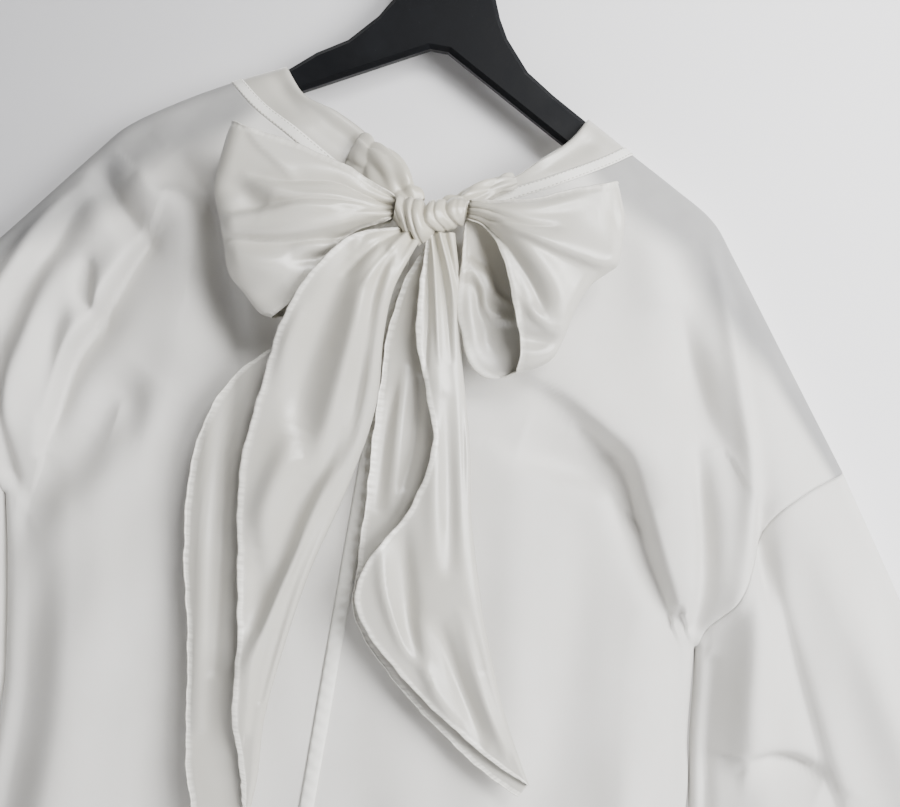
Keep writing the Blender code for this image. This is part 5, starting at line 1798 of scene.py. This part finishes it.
LAMPS = (
    Lamp("key_light", (1.05, -1.06, -0.02), (0.12, 0.0, -0.3), 0.85, 49.0),
    Lamp("upper_light", (0.42, -1.25, 0.40), (0.12, 0.0, -0.25), 0.40, 18.5),
    Lamp("rear_light", (-0.7, 1.7, 0.5), (0.0, 0.0, -0.4), 1.2, 70.0),
)


@dataclass
class Studio:
    """Pale wall close behind the garment, pale floor, soft lights and the camera.

    Lengths are in metres in the frame of the meshes; wall_y is the depth of the wall and floor_z the height
    of the floor.  eye is the camera's place, roll its turn about its own axis in degrees and lens its focal
    length in millimetres.
    """

    wall_y: float = 0.0225
    floor_z: float = -1.05
    reach: float = 3.2
    eye: tuple[float, float, float] = (0.0482, -0.75, -0.3384)
    roll: float = 10.2
    lens: float = 45.45

    def build(self) -> None:
        """Make the stage, the lights and the camera."""
        # The wall's fade is painted shade towards its left.
        self.plane("wall", PlasterFinish("wall_paint", (0.83, 0.825, 0.84), 0.9, one_sided=True, fade=0.85),
                   Matrix.Translation((0.0, self.wall_y, self.floor_z + self.reach))
                   @ Matrix.Rotation(math.radians(90.0), 4, "X"))
        self.plane("floor", PlasterFinish("floor_paint", (0.66, 0.66, 0.67), 0.8),
                   Matrix.Translation((0.0, 0.0, self.floor_z)))
        self.lights()
        self.camera()

    def plane(self, name: str, finish: PlasterFinish, placed: Matrix) -> None:
        """Large plane of the stage.

        Args:
            name: Its name.
            finish: Its paint.
            placed: Its place and turn.
        """
        mesh = bpy.data.meshes.new(name)
        work = bmesh.new()
        bmesh.ops.create_grid(work, x_segments=2, y_segments=2, size=self.reach, matrix=placed)
        work.to_mesh(mesh)
        work.free()
        mesh.materials.append(finish.build())
        board = bpy.data.objects.new(name, mesh)
        bpy.context.collection.objects.link(board)
        if finish.one_sided:
            board.visible_shadow = False

    def lights(self) -> None:
        """Main light from the low right, a smaller one from above, one behind and a weak even surround."""
        for lamp in LAMPS:
            area = bpy.data.lights.new(lamp.name, "AREA")
            area.energy = lamp.power
            area.size = lamp.size
            light = bpy.data.objects.new(lamp.name, area)
            light.location = lamp.place
            direction = Vector(lamp.aim) - Vector(lamp.place)
            light.rotation_euler = direction.to_track_quat("-Z", "Y").to_euler()
            bpy.context.collection.objects.link(light)
        world = bpy.data.worlds.new("studio")
        bpy.context.scene.world = world
        world.use_nodes = True
        world.node_tree.nodes["Background"].inputs["Color"].default_value = (0.97, 0.98, 1.0, 1.0)
        world.node_tree.nodes["Background"].inputs["Strength"].default_value = 0.10

    def camera(self) -> None:
        """Camera square to the wall, turned about its own axis as the photograph is."""
        lens = bpy.data.cameras.new("view")
        lens.lens = self.lens
        lens.sensor_width = 36.0
        lens.clip_start = 0.02
        camera = bpy.data.objects.new("view", lens)
        roll = math.radians(self.roll)
        right = Vector((math.cos(roll), 0.0, math.sin(roll)))
        up = Vector((-math.sin(roll), 0.0, math.cos(roll)))
        turned = Matrix((right, up, right.cross(up))).transposed().to_4x4()
        camera.matrix_world = Matrix.Translation(self.eye) @ turned
        bpy.context.collection.objects.link(camera)
        bpy.context.scene.camera = camera


def main() -> None:
    """Build the garment, its bow, its hanger and the studio."""
    logging.basicConfig(level=logging.INFO, format="%(message)s")
    wardrobe = Wardrobe.make()
    Garment(wardrobe).build()
    Neck(wardrobe).build()
    Bow(wardrobe).build()
    Hanger(wardrobe).build()
    Studio().build()


if __name__ == "__main__":
    main()
